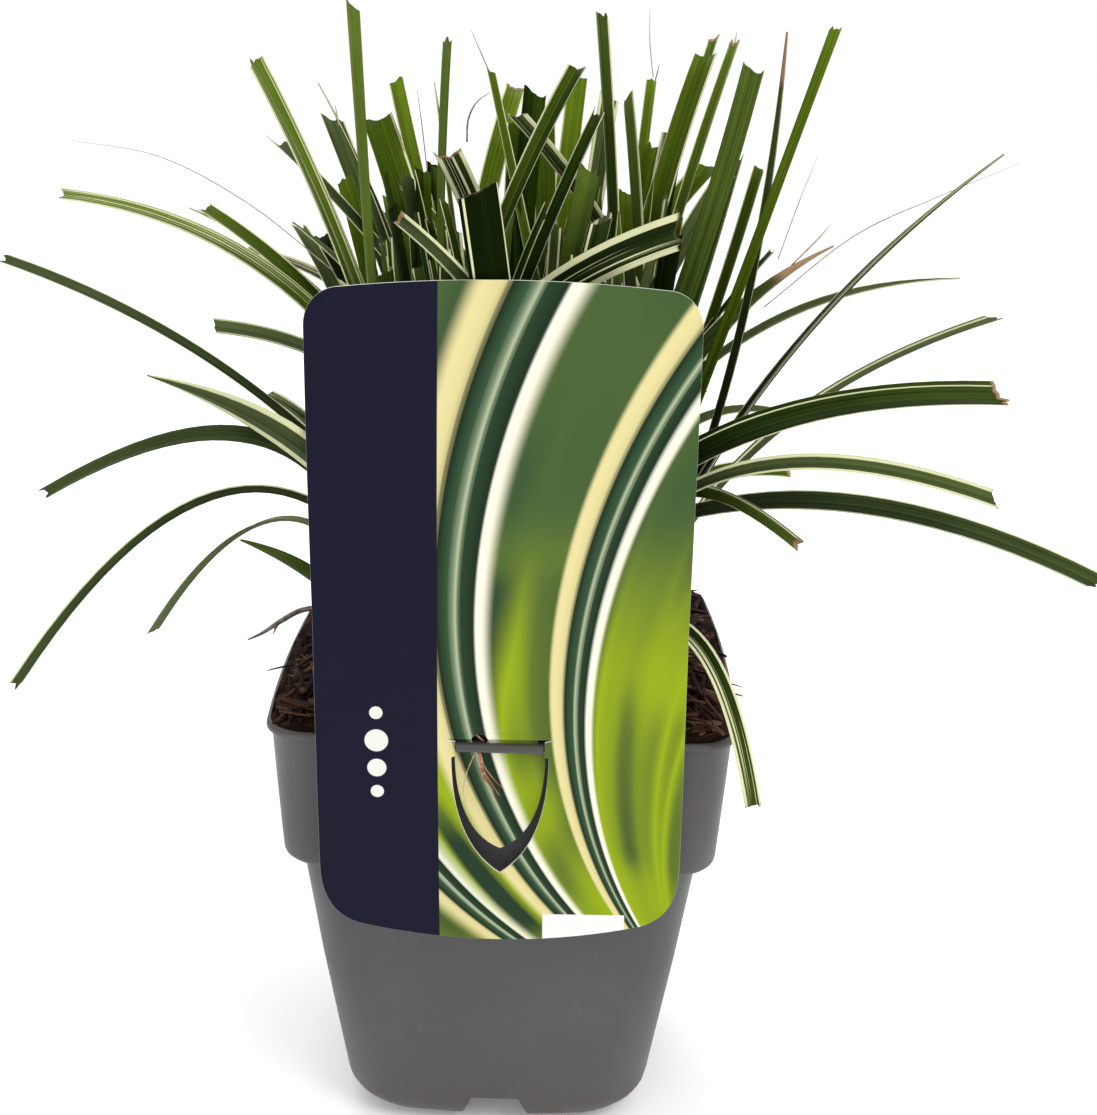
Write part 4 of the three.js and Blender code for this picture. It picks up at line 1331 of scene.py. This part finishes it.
def draw_blade(bm, blade, thick, letters, layers, draws):
    """Adds one blade: a grid bent to its curve, thickened, with a cut or a pointed end."""
    look, edge, wear = layers
    grid = bmesh.ops.create_grid(bm, x_segments=BLADE_COLUMNS, y_segments=BLADE_ROWS, size=1.0)["verts"]
    tone, margin, stripes, grey, dry = LOOKS[letters[0]]
    # The tone is painted light and shade: how lit from behind or how shaded the blade is.
    tone += draws.gauss(0, 0.04)
    pale = margins(blade, letters, margin, draws)
    pointed = "p" in letters
    dry = draws.uniform(0.7, 1.6) if "t" in letters else dry * draws.uniform(0.6, 1.4)
    seed = draws.random()
    ends = blade_end(draws, pointed)
    ripple = draws.uniform(0, 2 * math.pi)
    wave = draws.uniform(0.05, 0.25)
    length = (blade.tip - blade.root).length
    faces = list({face for vert in grid for face in vert.link_faces})
    under = new_verts(bmesh.ops.extrude_face_region(bm, geom=faces, use_keep_orig=True))
    reach = max(vert.co.x for vert in grid)
    for verts, way in ((grid, 0.5), (under, -0.5)):
        for vert in verts:
            s = vert.co.x / reach
            t = (vert.co.y / reach + 1) / 2
            middle, along, side, face, half = blade.section(t)
            half *= blade.broad
            if pointed:
                half *= 1 - 0.93 * max(0.0, (t - 0.72) / 0.28) ** 1.7
            fold = FOLD_DEPTH * half * abs(s) ** 1.12
            flutter = wave * math.sin(ripple + 9 * t + 2.2 * s) * s * s * min(1.0, 4 * t)
            lift = fold + flutter + way * thick * (1 - 0.5 * s * s)
            place = middle + side * (s * half) + face * lift
            end = max(0.0, (t - 0.9) / 0.1) ** 2
            place += along * (end * (s * blade.cut * half + ends[round((s + 1) / 2 * BLADE_COLUMNS)]))
            vert.co = place * MM
            vert[look] = (tone, seed, stripes, grey)
            vert[edge] = (pale[0], pale[1], min(1.0, dry / 50), 0.0 if way > 0 else 1.0)
            vert[wear] = (min(1.0, (1 - t) * length / 50), 0.0, 0.0, 1.0)
    shell = list({face for vert in [*grid, *under] for face in vert.link_faces})
    bmesh.ops.recalc_face_normals(bm, faces=shell)
    return grid, under, shell


def leaf_material(settings):
    """A sedge blade: green that grows brighter towards its end, which is painted shade darkening its foot
    deep in the clump, painted light and shade on the two halves of its fold and along the fold line, pale
    margins, fine pale lines and ribs, a duller underside, a bleached foot and a dried end."""
    material, tree, shader = new_material("sedge_leaf")
    u, v, _ = map_axes(tree, "strip")
    tone, seed, stripes, grey = parts_of(tree, "look")
    low_side, high_side, dry, under = parts_of(tree, "edge")
    from_end = parts_of(tree, "wear")[0]
    deep = Vector(settings.deep)
    fresh = Vector(settings.fresh)
    haze = Vector(settings.grey)
    # Lines that run the blade's whole length, painted shade that darkens the blade towards its foot, and
    # painted light and shade that make one half of the fold lighter than the other.
    shift = times(tree, seed, 91.0)
    lengthwise = joined(tree, times_plus(tree, u, 13.0, shift), times(tree, v, 0.9), shift)
    lines = cloud(tree, lengthwise, 1.0, 3.0, 0.6)
    drift = cloud(tree, joined(tree, u, times(tree, v, 6.0), shift), 1.3, 2.0, 0.5)
    own = sway(tree, tone, lines, 0.5, 0.75)
    own = sway(tree, own, drift, 0.5, 0.30)
    # Painted shade: darker towards the blade's foot, inside the clump.
    own = sway(tree, own, v, 0.85, 0.55)
    # Painted light and shade: one half of the fold lighter, the other darker.
    half = times(tree, rise(tree, u, 0.47, 0.53, -0.5, 0.5), minus(tree, seed, 0.5))
    own = times_plus(tree, half, 0.45, own, clamp=True)
    stops = [
        (0.0, deep * 0.35),
        (0.20, deep),
        (0.45, deep.lerp(fresh, 0.28)),
        (0.72, deep.lerp(fresh, 0.66)),
        (1.0, fresh * 1.2),
    ]
    green = ramp(tree, own, stops)
    # Grey green for the blades with greyness: partly their greyer underside, partly painted sheen for
    # reflected light.
    grey_and_painted_sheen = ramp(tree, own, [(0.0, haze * 0.3), (0.7, haze), (1.0, haze * 2)])
    green = blend(tree, times(tree, grey, 0.85), green, grey_and_painted_sheen)
    # Margins, a little uneven, each edge its own, and pale lines inside on the blades that have them.
    uneven = times_plus(tree, cloud(tree, lengthwise, 2.5, 2.0, 0.5), 0.10, -0.05)
    from_low = times_plus(tree, u, 2.0, uneven)
    from_high = plus(tree, times_plus(tree, u, -2.0, 2.0), uneven)
    bands = []
    for from_edge, width in ((from_low, low_side), (from_high, high_side)):
        band = rise(tree, from_edge, times(tree, width, 1.1), times(tree, width, 0.8))
        bands.append(times(tree, band, calc(tree, "GREATER_THAN", width, 0.01)))
    cut_off = times_plus(tree, stripes, -0.22, 0.76)
    pale = rise(tree, lines, cut_off, plus(tree, cut_off, 0.03))
    cream = calc(tree, "MAXIMUM", calc(tree, "MAXIMUM", *bands), times(tree, pale, stripes))
    shade = blend(tree, drift, rgba(Vector(settings.cream) * 0.72), rgba(settings.cream))
    colour = blend(tree, times(tree, cream, 0.94), green, shade)
    # Dark lines border the cream on strongly striped blades.
    border = times(tree, near(tree, lines, cut_off, 0.05), times(tree, stripes, 0.6))
    colour = blend(tree, times(tree, border, minus(tree, 1.0, cream)), colour, rgba(deep * 0.4))
    # Painted shade along the fold line, a dark line in the crease, then the underside, which is duller.
    fold = near(tree, u, 0.5, 0.035)
    colour = blend(tree, times(tree, fold, 0.4), colour, rgba(deep * 0.5))
    dull = times(tree, under, times(tree, own, 0.35))
    colour = blend(tree, dull, colour, rgba(haze))
    # A bleached foot, and an end that is dried over a length of its own.
    foot = rise(tree, v, 0.10, 0.01)
    colour = blend(tree, times(tree, foot, 0.7), colour, (0.30, 0.26, 0.10, 1.0))
    ragged = times_plus(tree, cloud(tree, lengthwise, 2.2, 2.0, 0.6), 0.03, from_end)
    reach = plus(tree, dry, 0.008)
    dried = rise(tree, ragged, reach, times(tree, reach, 0.75))
    scorched = rise(tree, ragged, plus(tree, reach, 0.008), reach)
    burnt = Vector(settings.dry) * 0.22
    tanned = times(tree, rise(tree, dry, 0.010, 0.018), rise(tree, drift, 0.3, 0.6, 0.6, 1.0))
    end_tone = blend(tree, tanned, rgba(burnt), rgba(settings.dry))
    colour = blend(tree, times(tree, scorched, 0.45), colour, rgba(burnt))
    colour = blend(tree, times(tree, dried, 0.9), colour, end_tone)
    ribs = calc(tree, "SINE", times(tree, u, 105.0))
    normal = relief(tree, lines, 0.15, 0.0006, relief(tree, ribs, 0.18, 0.00025))
    shine = rise(tree, lines, 0.3, 0.7, 0.45, 0.6)
    dress(tree, shader, colour, normal, shine, 0.02)
    return material


def sheath_material():
    """The sheaths' feet: straw coloured, brown and split low down, greener above."""
    material, tree, shader = new_material("sheath_straw")
    across, up, _ = map_axes(tree, "strip")
    lines = cloud(tree, joined(tree, times(tree, across, 30.0), up), 1.0, 3.0, 0.6)
    stops = [
        (0.0, (0.07, 0.028, 0.014)),
        (0.45, (0.26, 0.15, 0.06)),
        (0.75, (0.42, 0.36, 0.15)),
        (1.0, (0.28, 0.34, 0.10)),
    ]
    base = ramp(tree, up, stops)
    base = blend(tree, rise(tree, lines, 0.45, 0.7, 0.0, 0.6), base, (0.10, 0.045, 0.02, 1.0))
    dress(tree, shader, base, relief(tree, lines, 0.5, 0.0005), 0.62)
    return material


def hair_material():
    """Dry hairs, from dark grey-brown to pale straw, mottled along their length."""
    material, tree, shader = new_material("dry_hair")
    mottle = cloud(tree, object_place(tree), 420.0, 3.0, 0.6)
    own = sway(tree, parts_of(tree, "look")[0], mottle, 0.5, 0.8, clamp=True)
    stops = [
        (0.0, (0.05, 0.045, 0.03)),
        (0.42, (0.19, 0.155, 0.125)),
        (0.68, (0.42, 0.37, 0.34)),
        (0.84, (0.55, 0.40, 0.27)),
        (1.0, (0.30, 0.12, 0.065)),
    ]
    base = ramp(tree, own, stops)
    normal = relief(tree, mottle, 0.3, 0.0002)
    dress(tree, shader, base, normal, 0.7, 0.1)
    return material


def smooth_path(places, steps):
    """Places along a smooth curve through the given ones."""
    path = []
    padded = [places[0] * 2 - places[1], *places, places[-1] * 2 - places[-2]]
    for before, start, end, after in zip(padded, padded[1:], padded[2:], padded[3:]):
        for i in range(steps):
            t = i / steps
            bend = (end - before) * t + (before * 2 - start * 5 + end * 4 - after) * t**2
            path.append(start + (bend + (start * 3 - before - end * 3 + after) * t**3) / 2)
    path.append(places[-1])
    return path


def tube_rings(path, thick):
    """Rings of places around a path, tapered to a third at the first end."""
    angles = [2 * math.pi * k / 5 for k in range(5)]
    rings = []
    for i, place in enumerate(path):
        ahead = (path[min(i + 1, len(path) - 1)] - path[max(i - 1, 0)]).normalized()
        side = ahead.cross(Vector((0.2, 1, 0.1))).normalized()
        out = side.cross(ahead)
        half = thick / 2 * (0.33 + 0.67 * min(1.0, 2 * i / len(path)))
        rings.append([place + (side * math.cos(a) + out * math.sin(a)) * half for a in angles])
    return rings


def draw_sheath(bm, shoot, strip):
    """The tapered foot of a shoot, from inside the soil to where its blades part."""
    radii = {"radius1": SHEATH_FOOT, "radius2": SHEATH_TOP}
    made = bmesh.ops.create_cone(bm, cap_ends=True, segments=16, depth=SHEATH_LONG, **radii)["verts"]
    bmesh.ops.translate(bm, vec=(0, 0, SHEATH_LONG / 2 - SHEATH_BELOW), verts=made)
    for face in list({face for vert in made for face in vert.link_faces}):
        face.material_index = 1
        for loop in face.loops:
            place = loop.vert.co
            around = math.atan2(place.y, place.x) / math.tau + 0.5
            loop[strip].uv = (around, (place.z + SHEATH_BELOW) / SHEATH_LONG)
    turn = Matrix.Rotation(math.radians(shoot.azimuth), 4, "Z") @ Matrix.Rotation(shoot.lean, 4, "Y")
    for vert in made:
        vert.co = (turn @ vert.co + shoot.crown) * MM


class SEDGE_OT_shoots(bpy.types.Operator):
    """Grows every shoot of the clump: its sheath and its striped, trimmed blades"""

    bl_idname = "sedge.shoots"
    bl_label = "Shoots"

    def execute(self, context):
        settings = context.scene.sedge_clump
        shoots = find_shoots(settings.crown / MM)
        seeds = Draws(GROWTH_SEED)
        find_named(shoots, seeds)
        find_rest(shoots, seeds)
        materials = [leaf_material(settings), sheath_material()]
        draws = random.Random(FINISH_SEED)
        for shoot in shoots:
            if shoot.node is None:
                continue
            bm = bmesh.new()
            layers = (
                bm.loops.layers.uv.new("strip"),
                bm.verts.layers.float_color.new("look"),
                bm.verts.layers.float_color.new("edge"),
                bm.verts.layers.float_color.new("wear"),
            )
            inner = [young_blade(shoot, draws) for _ in range(settings.young)]
            for blade in shoot.blades + inner:
                letters = blade.look or draws.choice(("k", "dn", "d", "g", "gn", "b", "u", "q", "s"))
                grid, under, shell = draw_blade(bm, blade, settings.thick / MM, letters, layers[1:], draws)
                self.map_blade(grid, under, shell, layers[0])
            draw_sheath(bm, shoot, layers[0])
            finish_piece(f"blades_{shoot.node[-2:]}", bm, materials, [shoot.node])
        self.lay_hairs()
        return {"FINISHED"}

    def lay_hairs(self):
        """Fine dry hairs, each a thin closed tube through its places."""
        bm = bmesh.new()
        look = bm.verts.layers.float_color.new("look")
        for shade, thick, places in HAIRS:
            before = len(bm.verts)
            curve = smooth_path([Vector(place) for place in places], 6)
            lathe_through(bm, tube_rings(curve, thick))
            bm.verts.ensure_lookup_table()
            for vert in bm.verts[before:]:
                vert[look] = (shade, 0.0, 0.0, 1.0)
        finish_piece("hair_wisps", bm, [hair_material()])

    def map_blade(self, grid, under, shell, strip):
        """The strip map: across the blade in U, along it in V, alike on both faces."""
        columns = BLADE_COLUMNS + 1
        rows = len(grid) // columns
        where = {}
        for verts in (grid, under):
            for index, vert in enumerate(verts):
                where[vert] = ((index % columns) / (columns - 1), (index // columns) / (rows - 1))
        for face in shell:
            for loop in face.loops:
                loop[strip].uv = where[loop.vert]


# ------------------------------------------------------------------ stage


def area_light(name, place, aim, size, power):
    data = bpy.data.lights.new(name, "AREA")
    data.shape = "DISK"
    data.size = size
    data.energy = power
    lamp = bpy.data.objects.new(name, data)
    lamp.location = place
    lamp.rotation_mode = "QUATERNION"
    lamp.rotation_quaternion = (Vector(aim) - Vector(place)).to_track_quat("-Z", "Y")
    bpy.context.collection.objects.link(lamp)


def paper_material(settings):
    """Pale floor paper that gives a little light of its own."""
    material, tree, shader = new_material("floor_paper")
    grain = cloud(tree, object_place(tree), 30.0, 3.0, 0.5)
    tone = blend(tree, grain, rgba(Vector(settings.floor) * 0.985), rgba(settings.floor))
    glow = {"Emission Color": tone, "Emission Strength": settings.glow}
    feed(tree, shader, {"Base Color": tone, "Roughness": 0.9, **glow})
    return material


class SEDGE_OT_stage(bpy.types.Operator):
    """Sets the camera, the pale floor and the soft lights"""

    bl_idname = "sedge.stage"
    bl_label = "Stage"

    def execute(self, context):
        settings = context.scene.sedge_stage
        self.place_camera(context, settings)
        self.lay_floor(settings)
        self.light_up(context, settings)
        for lamp in LAMPS:
            area_light(*lamp)
        return {"FINISHED"}

    def lay_floor(self, settings):
        bm = bmesh.new()
        bmesh.ops.create_circle(bm, cap_ends=True, segments=96, radius=FLOOR_RADIUS)
        floor = object_of("floor", bm)
        floor.data.materials.append(paper_material(settings))
        floor.location.z = FLOOR_HEIGHT

    def light_up(self, context, settings):
        world = bpy.data.worlds.new("studio")
        world.use_nodes = True
        tree = world.node_tree
        feed(tree, tree.nodes["Background"], {0: (1.0, 1.0, 1.0, 1.0), 1: settings.surround})
        context.scene.world = world
        context.scene.view_settings.view_transform = "Standard"

    def place_camera(self, context, settings):
        tilt = settings.elevation
        back = Vector((0, -math.cos(tilt), math.sin(tilt)))
        forward = -back
        right = forward.cross(Vector((0, 0, 1))).normalized()
        up = right.cross(forward)
        roll = settings.roll
        turned_right = right * math.cos(roll) + up * math.sin(roll)
        turned_up = up * math.cos(roll) - right * math.sin(roll)
        aim = Vector((settings.aim_side, 0, settings.aim_height))
        place = aim + back * settings.distance
        data = bpy.data.cameras.new("camera")
        data.sensor_width = SENSOR
        data.lens = settings.focal_pixels * SENSOR / FRAME_SIDE
        data.clip_start = 0.01
        camera = bpy.data.objects.new("camera", data)
        axes = Matrix((turned_right, turned_up, back)).transposed().to_4x4()
        camera.matrix_world = Matrix.Translation(place) @ axes
        context.collection.objects.link(camera)
        context.scene.camera = camera


# ------------------------------------------------------------------ add-on


class SEDGE_PT_panel(bpy.types.Panel):
    """Lists the settings and makers of the potted sedge"""

    bl_idname = "SEDGE_PT_panel"
    bl_label = "Potted Sedge"
    bl_space_type = "VIEW_3D"
    bl_region_type = "UI"
    bl_category = "Sedge"

    def draw(self, context):
        layout = self.layout
        for title, group, maker in MAKERS:
            box = layout.box()
            box.label(text=title)
            settings = getattr(context.scene, group)
            for key in settings.__annotations__:
                box.prop(settings, key)
            box.operator(maker)


MAKERS = [
    ("Pot", "sedge_pot", "sedge.pot"),
    ("Soil", "sedge_soil", "sedge.soil"),
    ("Plant card", "sedge_card", "sedge.card"),
    ("Shoots", "sedge_clump", "sedge.shoots"),
    ("Stage", "sedge_stage", "sedge.stage"),
]

SETTINGS = {
    "sedge_pot": SedgePotSettings,
    "sedge_soil": SedgeSoilSettings,
    "sedge_card": SedgeCardSettings,
    "sedge_clump": SedgeClumpSettings,
    "sedge_stage": SedgeStageSettings,
}

CLASSES = (SEDGE_OT_pot, SEDGE_OT_soil, SEDGE_OT_card, SEDGE_OT_shoots, SEDGE_OT_stage, SEDGE_PT_panel)


def register():
    for name, group in SETTINGS.items():
        bpy.utils.register_class(group)
        setattr(bpy.types.Scene, name, PointerProperty(type=group))
    for made in CLASSES:
        bpy.utils.register_class(made)


def unregister():
    for made in reversed(CLASSES):
        bpy.utils.unregister_class(made)
    for name, group in SETTINGS.items():
        delattr(bpy.types.Scene, name)
        bpy.utils.unregister_class(group)


def main():
    register()
    bpy.ops.sedge.stage()
    bpy.ops.sedge.pot()
    bpy.ops.sedge.soil()
    bpy.ops.sedge.card()
    bpy.ops.sedge.shoots()


if __name__ == "__main__":
    main()
